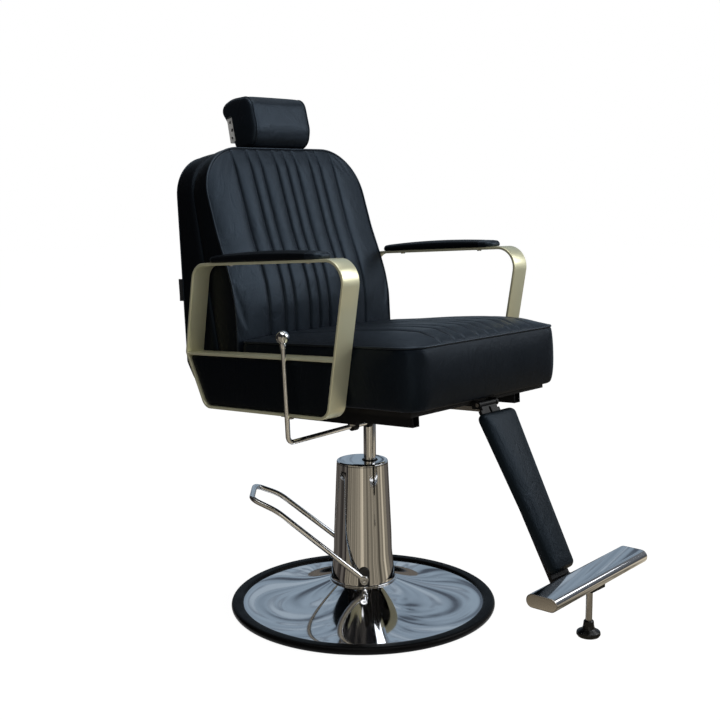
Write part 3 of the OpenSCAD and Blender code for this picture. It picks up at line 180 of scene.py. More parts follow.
LEATHER = leather("leather", (0.0036, 0.0050, 0.0076), 0.35, 0.34, tint=0.14, rough_var=0.05, rough_scale=11)
# Darker, less shiny copies of the same hide, for the sides, bands, rear pad, arm panels, arm pads and calf
# pad, which face away from the light: painted shade.
LEATHER_SHADED_SIDE = leather("leather_shaded_side", (0.0018, 0.0022, 0.0032), 0.42, 0.14, tint=0.14, rough_var=0.05)
LEATHER_SHADED_BAND = leather("leather_shaded_band", (0.0022, 0.0032, 0.0050), 0.38, 0.16)
LEATHER_SHADED_CALF = leather("leather_shaded_calf", (0.0022, 0.0038, 0.0054), 0.36, 0.18)
PIPING = surface("piping", (0.003, 0.0035, 0.005), 0.30, spec=0.45, spec_tint=PAINTED_BLUE_SHEEN,
                 grain=[("cells", 700, 0.00015, 0.3, ONE)])
THREAD = surface("thread", (0.002, 0.0022, 0.0026), 0.6, spec=0.08, grain=[("weave", 900, 0.0001, 0.4, ONE)])
GOLD = surface("satin_gold", (0.70, 0.68, 0.47), 0.34, 0.72, tint=0.035, tint_scale=4, rough_var=0.04,
               grain=fine(1500, 0.00004, 0.35) + fine(30, 0.0005, 0.03))
BRIGHT = {"metal": 1.0, "tint": 0.02, "rough_var": 0.02}
CHROME = surface("chrome", (0.78, 0.79, 0.81), 0.055, rough_scale=14, grain=fine(13, 0.0012, 0.06), **BRIGHT)
CHROME_DISH = surface("chrome_dish", (0.80, 0.81, 0.83), 0.055, rough_scale=14, grain=fine(8, 0.0010, 0.035),
                      **BRIGHT)
CHROME_TUBE = surface("chrome_tube", (0.92, 0.93, 0.94), 0.13, **BRIGHT)
BRUSH_MARKS = fine(900, 0.00004, 0.4, (1, 1, 0.06))
SATIN = surface("satin_steel", (0.50, 0.49, 0.475), 0.30, 1.0, tint=0.05, rough_var=0.05, grain=BRUSH_MARKS)
BRUSHED = surface("brushed_plate", (0.80, 0.80, 0.78), 0.38, 0.5, tint=0.06, grain=BRUSH_MARKS)
POST = surface("post_steel", (0.30, 0.30, 0.295), 0.46, 0.85, tint=0.06, grain=BRUSH_MARKS)
CAP_METAL = surface("cap_metal", (0.44, 0.42, 0.40), 0.27, 1.0, tint=0.06, rough_var=0.05,
                    grain=fine(900, 0.00004, 0.3))
RUBBER = surface("rubber", (0.0016, 0.0016, 0.0018), 0.38, spec=0.07, tint=0.2, rough_var=0.08,
                 rough_scale=20, grain=fine(900, 0.00008, 0.35))
SHINY_RUBBER = surface("shiny_rubber", (0.0024, 0.0024, 0.0026), 0.24, spec=0.4, tint=0.2,
                       grain=fine(500, 0.00006, 0.25))
PAINT = surface("black_paint", (0.003, 0.003, 0.0035), 0.4, spec=0.2, tint=0.1,
                grain=fine(420, 0.00008, 0.25))
PLASTIC = surface("black_plastic", (0.005, 0.005, 0.0055), 0.35, spec=0.4, tint=0.1,
                  grain=fine(700, 0.00006, 0.3))
CAST = surface("cast_iron", (0.12, 0.12, 0.125), 0.6, 0.6, tint=0.25, grain=fine(260, 0.0005, 0.5))
BRONZE = surface("bronze", (0.55, 0.38, 0.16), 0.3, 1.0, tint=0.08, grain=fine(700, 0.00005, 0.3))
WEBBING = surface("webbing", (0.007, 0.008, 0.010), 0.75, spec=0.2, tint=0.2, sheen=0.1,
                  grain=[("weave", 520, 0.0003, 0.7, ONE), ("weave", 520, 0.0003, 0.7, (0, 0.2, 1))])
PLY = surface("stained_ply", (0.006, 0.0055, 0.005), 0.6, spec=0.2, tint=0.35, tint_scale=30,
              grain=fine(220, 0.0003, 0.4, (1, 0.08, 1)))


# ---- mesh helpers
def linked(name, data):
    """A new object in the scene."""
    o = bpy.data.objects.new(name, data)
    bpy.context.scene.collection.objects.link(o)
    return o


def add(name, part, m, body, mat, nodes=(), sharp=40, weld=1e-6):
    """A piece from (points, faces) in millimetres of frame m. It rides a body and replaces CAD nodes.
    sharp: edges above this angle stay sharp. weld: distance in metres, below which points join."""
    me = bpy.data.meshes.new(name)
    me.from_pydata([tuple(p) for p in place(m, part[0])], [], [tuple(int(i) for i in f) for f in part[1]])
    bm = bmesh.new()
    bm.from_mesh(me)
    if weld:
        bmesh.ops.remove_doubles(bm, verts=bm.verts, dist=weld)
    bmesh.ops.recalc_face_normals(bm, faces=bm.faces)
    bm.to_mesh(me)
    bm.free()
    me.polygons.foreach_set("use_smooth", [True] * len(me.polygons))
    me.update()
    if sharp:
        me.set_sharp_from_angle(angle=rad(sharp))
    o = linked(name, me)
    me.materials.append(mat)
    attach(o, body)
    if nodes:
        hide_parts(*nodes)
    return o


def grid_faces(rows, cols, close_rows=False, close_cols=False):
    """Quads of a rows x cols block of points."""
    out = []
    for i in range(rows if close_rows else rows - 1):
        for j in range(cols if close_cols else cols - 1):
            a, b = i * cols + j, i * cols + (j + 1) % cols
            c, d = (i + 1) % rows * cols + (j + 1) % cols, (i + 1) % rows * cols + j
            out.append((a, b, c, d))
    return out


def lid(first, n):
    """Quads that close a ring of n points with ladder rungs, which subdivide well."""
    out = [(first + i, first + i + 1, first + n - 2 - i, first + n - 1 - i) for i in range((n - 1) // 2)]
    return [tuple(dict.fromkeys(f)) for f in out]


def stack(rings):
    """Rings of the same count joined to one closed body, with a lid at each end."""
    k = len(rings[0])
    faces = grid_faces(len(rings), k, close_cols=True) + lid(0, k) + lid((len(rings) - 1) * k, k)
    return np.vstack(rings), faces


def at_x(outline, x):
    """A (y, z) outline as points in the plane x."""
    o = np.asarray(outline)
    return np.stack([np.full(len(o), x), o[:, 0], o[:, 1]], 1)


def joined(*parts):
    """Several (points, faces) sets as one."""
    pts, faces, k = [], [], 0
    for p, f in parts:
        p = np.asarray(p, float).reshape(-1, 3)
        pts.append(p)
        faces += [tuple(i + k for i in q) for q in f]
        k += len(p)
    return np.vstack(pts), faces


def moved(part, m):
    return place(m, part[0]) * 1000, part[1]


def arc(a, b, c, r, n):
    """Points that round the corner b of a, b, c with radius r."""
    a, b, c = (np.asarray(q, float) for q in (a, b, c))
    u, v = (a - b) / np.linalg.norm(a - b), (c - b) / np.linalg.norm(c - b)
    half = math.acos(max(-1, min(1, float(u @ v)))) / 2
    if half > math.pi / 2 - 1e-3 or r <= 0:
        return [b]
    w = (u + v) / np.linalg.norm(u + v)
    ctr = b + w * (r / math.sin(half))
    w0, w1 = b + u * (r / math.tan(half)) - ctr, b + v * (r / math.tan(half)) - ctr
    t = math.pi - 2 * half
    mix = [(math.sin(t * (1 - k / n)), math.sin(t * k / n)) for k in range(n + 1)]
    return [ctr + (a * w0 + b * w1) / math.sin(t) for a, b in mix]


def rounded(pts, radii, n, closed=True):
    """Outline or path with its corners rounded, one radius for each or one for all."""
    m = len(pts)
    if not hasattr(radii, "__len__"):
        radii = [radii] * m
    out = []
    for i in range(m):
        if not closed and i in (0, m - 1):
            out.append(np.asarray(pts[i], float))
        else:
            out += arc(pts[(i - 1) % m], pts[i], pts[(i + 1) % m], radii[i], n)
    return np.array(out)


def inset(pts, d):
    """Anticlockwise outline moved inwards by d."""
    p = np.asarray(pts, float)
    e = np.roll(p, -1, 0) - p
    e /= np.linalg.norm(e, axis=1)[:, None]
    nrm = np.stack([-e[:, 1], e[:, 0]], 1)
    n0 = np.roll(nrm, 1, 0)
    return p + (n0 + nrm) * (d / (1 + (n0 * nrm).sum(1)))[:, None]


def outline_at(pts, radii, d, n):
    """Rounded outline moved inwards by d, its corners tighter by as much."""
    return rounded(inset(pts, d), [max(2, r - d) for r in radii], n)


def lathe(profile, n=128, closed=False):
    """Turns (r, z) points about Z. Points on the axis weld together later."""
    a = np.arange(n) * 2 * math.pi / n
    pts = np.array([[r * math.cos(t), r * math.sin(t), z] for r, z in profile for t in a])
    f = grid_faces(len(profile), n, close_rows=closed, close_cols=True)
    return pts, f


def sweep(path, section, side=None, closed=False):
    """Carries a closed (a, b) section along a path. Its a axis keeps to side, or goes along untwisted."""
    p = np.asarray(path, float)
    n = len(p)
    if closed:
        t = np.roll(p, -1, 0) - np.roll(p, 1, 0)
    else:
        t = np.gradient(p, axis=0)
    t /= np.linalg.norm(t, axis=1)[:, None]
    u = np.zeros_like(p)
    if side is not None:
        u[:] = np.asarray(side, float)
    else:
        v = np.array([0.13, 0.3, 1.0])
        for i in range(n):
            v = v - t[i] * (v @ t[i])
            v /= np.linalg.norm(v)
            u[i] = v
    w = np.cross(t, u)
    # keep a flat bar's width through a bend
    s = np.asarray(section, float)
    stretch = np.ones(n)
    if side is not None:
        for i in range(n):
            if closed or 0 < i < n - 1:
                d0 = p[i] - p[i - 1]
                d1 = p[(i + 1) % n] - p[i]
                c = (d0 @ d1) / np.linalg.norm(d0) / np.linalg.norm(d1)
                stretch[i] = 1 / math.sqrt(max(0.5, (1 + c) / 2))
    pts = np.concatenate([p[i] + s[:, :1] * u[i] + s[:, 1:] * w[i] * stretch[i] for i in range(n)])
    k = len(s)
    faces = grid_faces(n, k, close_rows=closed, close_cols=True)
    if not closed:
        faces += [tuple(range(k)), tuple(range((n - 1) * k, n * k))]
    return pts, faces


def circle(r, n=20):
    return [(r * math.cos(2 * math.pi * i / n), r * math.sin(2 * math.pi * i / n)) for i in range(n)]


def bar_section(w, h, r):
    return rounded([(-w / 2, -h / 2), (w / 2, -h / 2), (w / 2, h / 2), (-w / 2, h / 2)], r, 4)


def rod(r, z0, z1, edge=0.8, hole=0.0):
    """Profile of a round bar with eased ends."""
    e = [(r - edge + edge * math.sin(a), edge - edge * math.cos(a)) for a in np.linspace(0, math.pi / 2, 5)]
    lo = [(q[0], z0 + q[1]) for q in e]
    hi = [(q[0], z1 - q[1]) for q in reversed(e)]
    return [(hole, z0)] + lo + hi + [(hole, z1)]


def even(path, step=1.0, n=None, closed=False):
    """Path resampled to n points or to even steps. A closed one doesn't repeat its first point."""
    p = np.asarray(path, float)
    if closed:
        p = np.vstack([p, p[:1]])
    run = np.r_[0, np.cumsum(np.linalg.norm(np.diff(p, axis=0), axis=1))]
    if n is None:
        n = max(2, int(round(run[-1] / step)) + (not closed))
    t = np.linspace(0, run[-1], n, endpoint=not closed)
    return np.stack([np.interp(t, run, p[:, k]) for k in range(p.shape[1])], 1)


def applied(o, modifier):
    """The piece with its modifier turned into mesh."""
    me = bpy.data.meshes.new_from_object(o.evaluated_get(bpy.context.evaluated_depsgraph_get()))
    o.modifiers.remove(modifier)
    old = o.data
    o.data = me
    me.name = old.name
    bpy.data.meshes.remove(old)
    return o


def smooth_up(o):
    """Adds one subdivision."""
    m = o.modifiers.new("Subdivision", "SUBSURF")
    m.levels = m.render_levels = 1
    return applied(o, m)


def cut_box(o, m, lo, hi):
    """Cuts a box of frame m out of a piece. Where the exact solver leaves nothing, the manifold one cuts."""
    lo, hi = np.array(lo, float), np.array(hi, float)
    corners = np.array([[x, y, z] for x in (0, 1) for y in (0, 1) for z in (0, 1)]) * (hi - lo) + lo
    faces = [(0, 1, 3, 2), (4, 6, 7, 5), (0, 4, 5, 1), (2, 3, 7, 6), (0, 2, 6, 4), (1, 5, 7, 3)]
    me = bpy.data.meshes.new("cutter")
    me.from_pydata([tuple(p) for p in place(m, corners)], [], faces)
    cutter = linked("cutter", me)
    b = o.modifiers.new("Cut", "BOOLEAN")
    b.operation, b.object, b.solver = "DIFFERENCE", cutter, "EXACT"
    if len(o.evaluated_get(bpy.context.evaluated_depsgraph_get()).data.vertices) == 0:
        b.solver = "MANIFOLD"
    applied(o, b)
    bpy.data.objects.remove(cutter)
    o.data.set_sharp_from_angle(angle=rad(50))


# ---- padded pieces
SEAMS = [0, 31, 76.5, 107.5, 153]
ALL_SEAMS = sorted({s * q for s in SEAMS for q in (-1, 1)})


def soft_profile(knots, window=26):
    """Knots joined by straight lines and then smoothed, as a function of s."""
    k = np.asarray(knots, float)
    s = np.arange(k[0, 0] - 60, k[-1, 0] + 60.5, 1.0)
    h = np.interp(s, k[:, 0], k[:, 1])
    ker = np.hanning(window + 2)
    ker /= ker.sum()
    g = np.convolve(np.pad(h, len(ker), mode="edge"), ker, "same")[len(ker):-len(ker)]
    return lambda x: np.interp(x, s, g)


def level(v):
    """A height that is the same all along a pad."""
    return lambda s: np.full(np.shape(s), float(v))


def pad_columns(half, r, step, seams):
    """Where a pad's columns stand across it: closer in its round corners and beside each seam."""
    steps = max(6, int(r * math.pi / 2 / step))
    outer = [half - r + r * math.sin(math.pi / 2 * i / steps) for i in range(steps + 1)]
    knots = [0] + [q for q in seams if 0 < q < half - r] + [half - r]
    inner = []
    for a, b in zip(knots, knots[1:]):
        n = max(1, int(round((b - a) / step)))
        inner += [a + (b - a) * i / n for i in range(n)]
    marks = [q for q in seams if q >= half - r]
    right = sorted(inner + [o for o in outer if all(abs(o - q) > 2 for q in marks)] + marks)
    if seams:
        close = [q + d for q in seams for d in (-3.4, -1.4, 1.4, 3.4) if q + d > 0]
        right = sorted([c for c in right if c in seams or min(abs(c - q) for q in close) > 2.2] + close)
    return np.array([-c for c in reversed(right) if c > 0] + right)


class Pad:
    """A quilted box: a grid on top, a bulging band round it and a flat foot at 0.
    The top lies over (x, s) inside an outline with corner radii r0 and r1. Its height is top(x, s), and
    edge(s) at its rim. band: (outwards, share of the way down) for each ring of the band."""

    def __init__(self, half, s0, s1, r0, r1, top, edge, band, step=5.0, seams=()):
        self.cols = pad_columns(half, max(r0, r1), step, seams)
        rows = int(round((s1 - s0) / step))
        ease = np.linspace(0, 1, rows + 1)
        ease = ease - 0.048 * np.sin(2 * math.pi * ease)

        def corner_cut(r):
            a = np.abs(self.cols) - (half - r)
            return np.where(a <= 0, 0, r - np.sqrt(np.maximum(0, r * r - np.maximum(a, 0) ** 2)))

        lo, hi = s0 + corner_cut(r0), s1 - corner_cut(r1)
        nc, w = len(self.cols), rows + 1
        x = np.repeat(self.cols, w)
        s = (lo[:, None] + (hi - lo)[:, None] * ease[None, :]).ravel()
        rim = ([i * w for i in range(nc)] + [(nc - 1) * w + j for j in range(1, w)] +
               [i * w + rows for i in range(nc - 2, -1, -1)] + [j for j in range(rows - 1, 0, -1)])
        z = top(x, s)
        z[rim] = edge(s[rim])
        mid, rim_x, rim_s, rim_z = (s0 + s1) / 2, x[rim], s[rim], z[rim]
        # directions in which the rim faces
        reach = half - np.where(rim_s > mid, r1, r0)
        core = np.stack([np.clip(rim_x, -reach, reach), np.clip(rim_s, s0 + r0, s1 - r1)], 1)
        out = np.stack([rim_x, rim_s], 1) - core
        out /= np.maximum(np.linalg.norm(out, axis=1), 1e-9)[:, None]
        self.out = np.c_[out, np.zeros(len(out))]
        pts = [np.stack([x, s, z], 1)]
        for o, share in band:
            pts.append(np.stack([rim_x + out[:, 0] * o, rim_s + out[:, 1] * o, rim_z * (1 - share)], 1))
        # the foot is closed by rings drawn in towards the middle
        last = pts[-1]
        for f in (0.85, 0.6, 0.3):
            pts.append(np.stack([last[:, 0] * f, mid + (last[:, 1] - mid) * f, np.zeros(len(last))], 1))
        m = len(rim)
        self.rim, self.w = np.array(rim), w
        self.grid_n, self.band_n = nc * w, len(band) * m
        faces = [(a, a + 1, a + w + 1, a + w) for i in range(nc - 1) for a in range(i * w, i * w + rows)]
        ids = [rim] + [[self.grid_n + b * m + i for i in range(m)] for b in range(len(pts) - 1)]
        for q0, q1 in zip(ids, ids[1:]):
            faces += [(q0[i], q0[(i + 1) % m], q1[(i + 1) % m], q1[i]) for i in range(m)]
        self.faces = faces + lid(ids[-1][0], m)
        self.pts = np.concatenate(pts)

    def seam_ids(self, x):
        i = int(np.argmin(np.abs(self.cols - x)))
        return [i * self.w + j for j in range(self.w)]

    def held(self, seams=()):
        """Points that the cloth simulation holds: rim, seams, the band's last two rings and the foot."""
        ids = set(self.rim.tolist())
        ids |= set(range(self.grid_n + self.band_n - 2 * len(self.rim), len(self.pts)))
        for x in seams:
            ids |= set(self.seam_ids(x))
        return ids

    def caps(self, top, band):
        """How far each point may move in the simulation, in metres."""
        cap = np.full(len(self.pts), band)
        cap[:self.grid_n] = top
        return cap


def points(mesh):
    """A mesh's vertices in metres."""
    co = np.zeros(len(mesh.vertices) * 3, np.float32)
    mesh.vertices.foreach_get("co", co)
    return co.reshape(-1, 3)


def puff(o, pins, cap, pressure=4.0):
    """Blows the piece up a little with cloth simulation, its seams held, and caps each point's move."""
    frames, stiff = 16, 18.0
    scene = bpy.context.scene
    g = o.vertex_groups.new(name="held")
    g.add([int(i) for i in pins], 1.0, "REPLACE")
    m = o.modifiers.new("Cloth", "CLOTH")
    s = m.settings
    s.quality = 5
    s.mass = 0.4
    s.tension_stiffness = s.compression_stiffness = stiff
    s.shear_stiffness = stiff / 2
    s.bending_stiffness = 3.0
    s.tension_damping = s.compression_damping = 12
    s.air_damping = 3
    s.use_pressure = True
    s.uniform_pressure_force = pressure
    s.vertex_group_mass = "held"
    s.effector_weights.gravity = 0.0
    m.collision_settings.use_collision = False
    m.collision_settings.use_self_collision = False
    m.point_cache.frame_start, m.point_cache.frame_end = 1, frames
    rest = points(o.data)
    for f in range(1, frames + 1):
        scene.frame_set(f)
    ev = o.evaluated_get(bpy.context.evaluated_depsgraph_get())
    now = points(ev.to_mesh())
    ev.to_mesh_clear()
    o.modifiers.remove(m)
    o.vertex_groups.remove(g)
    scene.frame_set(1)
    d = np.nan_to_num(now - rest)
    n = np.linalg.norm(d, axis=1)
    d *= (cap * np.tanh(n / np.maximum(cap, 1e-9)) / np.maximum(n, 1e-9))[:, None]
    o.data.vertices.foreach_set("co", (rest + d).astype(np.float32).ravel())
    o.data.update()


def cover(name, part, m, body, mat, covers, weld=0):
    """A leather cover in place of one CAD node."""
    return add(name, part, m, body, mat, [covers], sharp=0, weld=weld)


def second_cover(o, mat, chosen):
    """Gives a second material to the faces that chosen picks."""
    o.data.materials.append(mat)
    for face in o.data.polygons:
        if chosen(face):
            face.material_index = 1


def welt(name, ring, r, body, sides=10):
    """Piping: a fine cord of leather along a sewn edge. ring is in metres."""
    p = even(np.asarray(ring) * 1000, 5.0, closed=True)
    return add(name, sweep(p, circle(r, sides), closed=True), BASE, body, PIPING, sharp=0)


STITCH_L, STITCH_GAP, STITCH_W, STITCH_H, STITCH_LIFT = 2.7, 1.7, 0.45, 0.35, 0.15


def stitches(name, lines, up, body):
    """Rows of short thread stitches along lines, each in metres. up: where the leather faces."""
    pts, faces = [], []
    for line in lines:
        q = even(np.asarray(line) * 1000, (STITCH_L + STITCH_GAP) / 2)
        for a, b in zip(q[1:-2:2], q[2:-1:2]):
            along = (b - a) / max(np.linalg.norm(b - a), 1e-9)
            across = np.cross(along, up)
            c = (a + b) / 2 + up * STITCH_LIFT
            k = len(pts)
            for e, z in ((-1, 0), (-0.72, 1), (0.72, 1), (1, 0)):
                for y in (-1, 1):
                    pts.append(c + along * e * STITCH_L / 2 + across * y * STITCH_W * (0.6 + 0.4 * z)
                               + up * z * STITCH_H)
            faces += [(k, k + 1, k + 3, k + 2), (k + 2, k + 3, k + 5, k + 4), (k + 4, k + 5, k + 7, k + 6),
                      (k, k + 2, k + 4, k + 6), (k + 1, k + 7, k + 5, k + 3), (k, k + 6, k + 7, k + 1)]
    return add(name, (np.array(pts), faces), BASE, body, THREAD, sharp=0, weld=0)


def ripple(p, scale, seed):
    """Smooth unrest from a few fixed waves, about -1 to 1."""
    rng = np.random.default_rng(seed)
    out = np.zeros(len(p))
    for _ in range(7):
        k = rng.normal(size=3)
        k /= np.linalg.norm(k)
        out += np.sin(p @ k * scale * rng.uniform(0.6, 1.7) + rng.uniform(0, 6.3))
    return out / 3.5


GROOVE = 5.8


def groove(x):
    """How far the sewn channels pull the top in at x: a sharp line at each seam between soft rolls."""
    x = np.asarray(x, float)
    lines = np.array(ALL_SEAMS)
    d = np.abs(x[:, None] - lines[None, :]).min(1)
    i = np.clip(np.searchsorted(lines, x), 1, len(lines) - 1)
    half_roll = np.where(np.abs(x) < lines[-1], (lines[i] - lines[i - 1]) / 2, 22.0)
    t = np.clip(1 - d / half_roll, 0, 1)
    return GROOVE * (0.18 * t ** 3 + 0.82 * np.exp(-(d / 1.8) ** 2))


def quilted(name, pad, m, covers, facing, caps, cord, outward, lift, shaded_band_mat):
    """Seat or back cushion: its cover, a cord along the rim of its top and stitches down each seam.
    caps: see Pad.caps. cord: its radius. outward, lift: how far it stands off the rim, in mm."""
    o = cover(name + "_cover", (pad.pts, pad.faces), m, name, LEATHER, covers)
    puff(o, pad.held(ALL_SEAMS), pad.caps(*caps))
    p = points(o.data).astype(float)
    welt(name + "_piping", p[pad.rim] + (turned(m, pad.out) * outward + lift) / 1000, cord, name)
    stitches(name + "_stitching", [p[pad.seam_ids(x)[2:-2]] for x in ALL_SEAMS], turned(m, facing), name)
    # the band round the sides gets a darker copy of the leather than the top: painted shade
    second_cover(o, shaded_band_mat, lambda face: max(face.vertices) >= pad.grid_n)
    smooth_up(o)


# ---- seat cushion
SEAT_HALF, SEAT_FRONT, SEAT_REAR, SEAT_H, SEAT_CROWN = 241, -340, 143, 122.0, 29
CORNER = (193, -291)
PUCKER = (208, -322, 103)
crown_s = soft_profile([[SEAT_FRONT, 0.04], [-328, 0.46], [-290, 0.92], [-233, 1], [-133, 0.88], [-20, 0.64],
                        [103, 0.44], [SEAT_REAR, 0.22]])
SEAT_BAND = [(2.2, 0.015), (4.1, 0.05), (5.4, 0.11), (6.1, 0.2), (6.4, 0.32), (6.4, 0.46), (6.1, 0.6),
             (5.0, 0.74), (2.9, 0.86), (0.2, 0.94), (-3.0, 0.985), (-6.6, 1)]


def seat_top(x, s):
    g = 1 - np.abs(x / SEAT_HALF) ** 5
    c = crown_s(s)
    return SEAT_H + SEAT_CROWN * c * g + 1 - groove(x) * np.minimum(1, 0.25 + c * g)


def seat_unrest(pad):
    """The band puckers under the piping at the front corners, and the whole cover is a little uneven."""
    top, b = pad.pts[:pad.grid_n], pad.pts[pad.grid_n:pad.grid_n + pad.band_n]
    for side in (-1, 1):
        away = b[:, :2] - [side * CORNER[0], CORNER[1]]
        near = np.exp(-(np.hypot(b[:, 0] - side * PUCKER[0], b[:, 1] - PUCKER[1]) / 34) ** 2)
        near = near * np.exp(-((b[:, 2] - PUCKER[2]) / 12) ** 2)
        wave = np.sin(np.arctan2(away[:, 1], side * away[:, 0]) * 9 + 1.2)
        away /= np.maximum(np.linalg.norm(away, axis=1), 1e-6)[:, None]
        b[:, :2] += away * (wave * near * 1.7)[:, None]
    b[:, 2] += 0.5 * ripple(b, 0.02, 3)
    top[:, 2] += 0.7 * ripple(top, 0.018, 4) * np.clip((top[:, 2] - SEAT_H) / 12, 0, 1)


seat_pad = Pad(SEAT_HALF, SEAT_FRONT, SEAT_REAR, 44, 20, seat_top, level(SEAT_H), SEAT_BAND, seams=SEAMS)
seat_unrest(seat_pad)
quilted("seat", seat_pad, SEAT, "seat_cushion", (0, 0, 1), (0.006, 0.0028), 2.5, 1.6, np.array([0, 0, 0.8]),
        LEATHER_SHADED_BAND)

# ---- back: front cushion
BACK_H, BACK_HALF, BACK_R, FOOT_R, BACK_CROWN = 506.0, 240.0, 112, 16, 13
front_edge = soft_profile([[0, 59], [80, 74], [150, 84], [195, 83], [240, 76], [313, 61], [403, 50],
                           [508, 41]], window=44)
crown_b = soft_profile([[0, 0.1], [60, 0.35], [130, 0.8], [200, 1], [400, 1], [466, 0.8], [BACK_H, 0.2]], 30)
BACK_BAND = [(1.2, 0.03), (2.2, 0.12), (3.0, 0.3), (3.3, 0.5), (2.8, 0.7), (0.6, 0.88), (-1.5, 1)]


def back_top(x, s):
    g = 1 - np.abs(x / BACK_HALF) ** 4
    c = crown_b(s)
    return front_edge(s) + BACK_CROWN * c * g + 1 - groove(x) * np.minimum(1, 0.3 + c * g)


def upright(p):
    """A lying pad's (x, s, height) as (x, -height, s)."""
    return np.stack([p[:, 0], -p[:, 2], p[:, 1]], 1)


back_pad = Pad(BACK_HALF + 3, 0, BACK_H, FOOT_R, BACK_R, back_top, front_edge, BACK_BAND, seams=SEAMS)
back_pad.pts, back_pad.out = upright(back_pad.pts), upright(back_pad.out)
front = back_pad.pts[:back_pad.grid_n]
front[:, 1] += 0.6 * ripple(front, 0.02, 8)
front[back_pad.rim, 1] -= 0.6 * ripple(front[back_pad.rim], 0.02, 8)
quilted("back", back_pad, BACK, "back_cushion", (0, -1, 0), (0.0036, 0.0012), 2.3, 1.0,
        turned(BACK, (0, -0.6, 0)), LEATHER_SHADED_SIDE)

# ---- back: rear pad
REAR_DEPTH, REAR_TAPER, REAR_MID, REAR_N = 135, 0.171, 250, 249
# (share of the depth, inset, corners tighter by) from the board to the rear face
REAR_RINGS = [(0, -1.5, 0), (0.1, -2.0, 2), (0.3, -2.5, 8), (0.5, -2.1, 13), (0.7, -1, 20), (0.84, 0.4, 23),
              (0.93, 2.2, 26), (0.975, 5, 28), (1, 11, 30)]
# (size, bulge) of the rings that close the rear face
REAR_FACE = [(0.93, 0.6), (0.84, 1.04), (0.72, 1.36), (0.58, 1.6), (0.42, 1.76), (0.24, 1.84), (0.08, 1.88)]
REAR_SEAM = 6


def back_rear(s):
    return REAR_DEPTH - REAR_TAPER * s


def slanted(y, s):
    """The foot of the rear pad slants in from the rear face to a low edge."""
    low_edge = 95 + 2.2 * np.cos(np.clip(s / 60, -1.5, 1.5)) - 2.2
    return np.minimum(y, low_edge + np.maximum(0, s + 1) * 65 / 151)


def rear_outline(d, r):
    box = [[-BACK_HALF, 0], [BACK_HALF, 0], [BACK_HALF, BACK_H], [-BACK_HALF, BACK_H]]
    foot_r = max(3, FOOT_R - d)
    return even(rounded(inset(box, d), [foot_r, foot_r, r - d, r - d], 22), n=REAR_N, closed=True)


rings = []
for share, d, tight in REAR_RINGS:
    x, s = rear_outline(d, BACK_R - tight).T
    rings.append(np.stack([x, slanted(share * back_rear(s), s), s], 1))
x, _, s = rings[-1].T
for f, bulge in REAR_FACE:
    z = REAR_MID + (s - REAR_MID) * f
    rings.append(np.stack([x * f, slanted(back_rear(z), z) + bulge * np.clip((z - 20) / 90, 0, 1), z], 1))
pts, faces = stack(rings)
pts[:, 1] = np.maximum(pts[:, 1], 0.4)
# the rear pad takes the darker copy of the leather: painted shade
rear = cover("back_shell", (pts, faces), BACK, "back", LEATHER_SHADED_SIDE, "back_rear_pad", weld=1e-6)
smooth_up(rear)
# piping where the rear panel is sewn to the side band
welt("rear_piping", place(BACK, rings[REAR_SEAM] + [0, 1.2, 0]), 1.9, "back")

# ---- bare webbing tag, folded double
TAG_W, TAG_OUT, TAG_T, TAG_FOLD, TAG_S = 50.0, 22.4, 0.6, 0.5, 188.0
fold = [(TAG_OUT + TAG_FOLD * math.sin(a), -TAG_FOLD * math.cos(a)) for a in np.linspace(0, math.pi, 9)]
mid = np.array([(0, -TAG_FOLD)] + fold + [(0, TAG_FOLD)])
along = np.gradient(mid, axis=0)
along /= np.linalg.norm(along, axis=1)[:, None]
off = np.stack([along[:, 1], -along[:, 0]], 1) * TAG_T / 2
y, x = np.vstack([mid + off, (mid - off)[::-1]]).T
rings = [np.stack([x + 0.25 * math.sin(z / 9), y, np.full(len(x), z)], 1) for z in np.linspace(0, TAG_W, 9)]
tag_frame = BACK @ shift(-BACK_HALF + 9.9, back_rear(TAG_S) - 3, TAG_S) @ turn_x(9.7)
tag = add("bare_tag", stack(rings), tag_frame, "back", WEBBING, ["side_tag"], weld=0)

# ---- headrest
HEAD = [[-52, 510.5], [12, 510.5], [19, 536], [24, 566], [38, 596], [59, 622], [4, 633], [-63, 624],
        [-67, 548]]
HEAD_R = [30, 8, 12, 60, 30, 20, 90, 28, 50]
HEAD_HALF = 90.0
# (way in from the end, inset) of the rings at each end, and (size, bulge) of those that close it
HEAD_EDGE = [(0, 12), (0.9, 8.2), (2.4, 5.0), (5, 2.8), (8.5, 1.5), (10.5, 1.7), (13, 0.9), (20, 0.2)]
HEAD_END = [(0.88, 0.8), (0.7, 1.3), (0.45, 1.6), (0.2, 1.7)]
HEAD_SEAM = len(HEAD_END) + 4


def head_end(ring, side):
    c = ring.mean(0)
    return [c + (ring - c) * f + [side * bulge, 0, 0] for f, bulge in HEAD_END]


stations = [(way - HEAD_HALF, d) for way, d in HEAD_EDGE]
middle = [(x, 0.0) for x in np.linspace(30 - HEAD_HALF, HEAD_HALF - 30, 17)]
stations += middle + [(-x, d) for x, d in reversed(stations)]
rings = [at_x(outline_at(HEAD, HEAD_R, d, 9), x) for x, d in stations]
rings = head_end(rings[0], -1)[::-1] + rings + head_end(rings[-1], 1)
m = len(rings[0])
pts, faces = stack(rings)
body_part = pts[len(HEAD_END) * m:-len(HEAD_END) * m]
body_part[:, 1] += 0.4 * ripple(body_part, 0.03, 12)
head = cover("headrest_cover", (pts, faces), BACK, "headrest", LEATHER, "headrest_cushion")
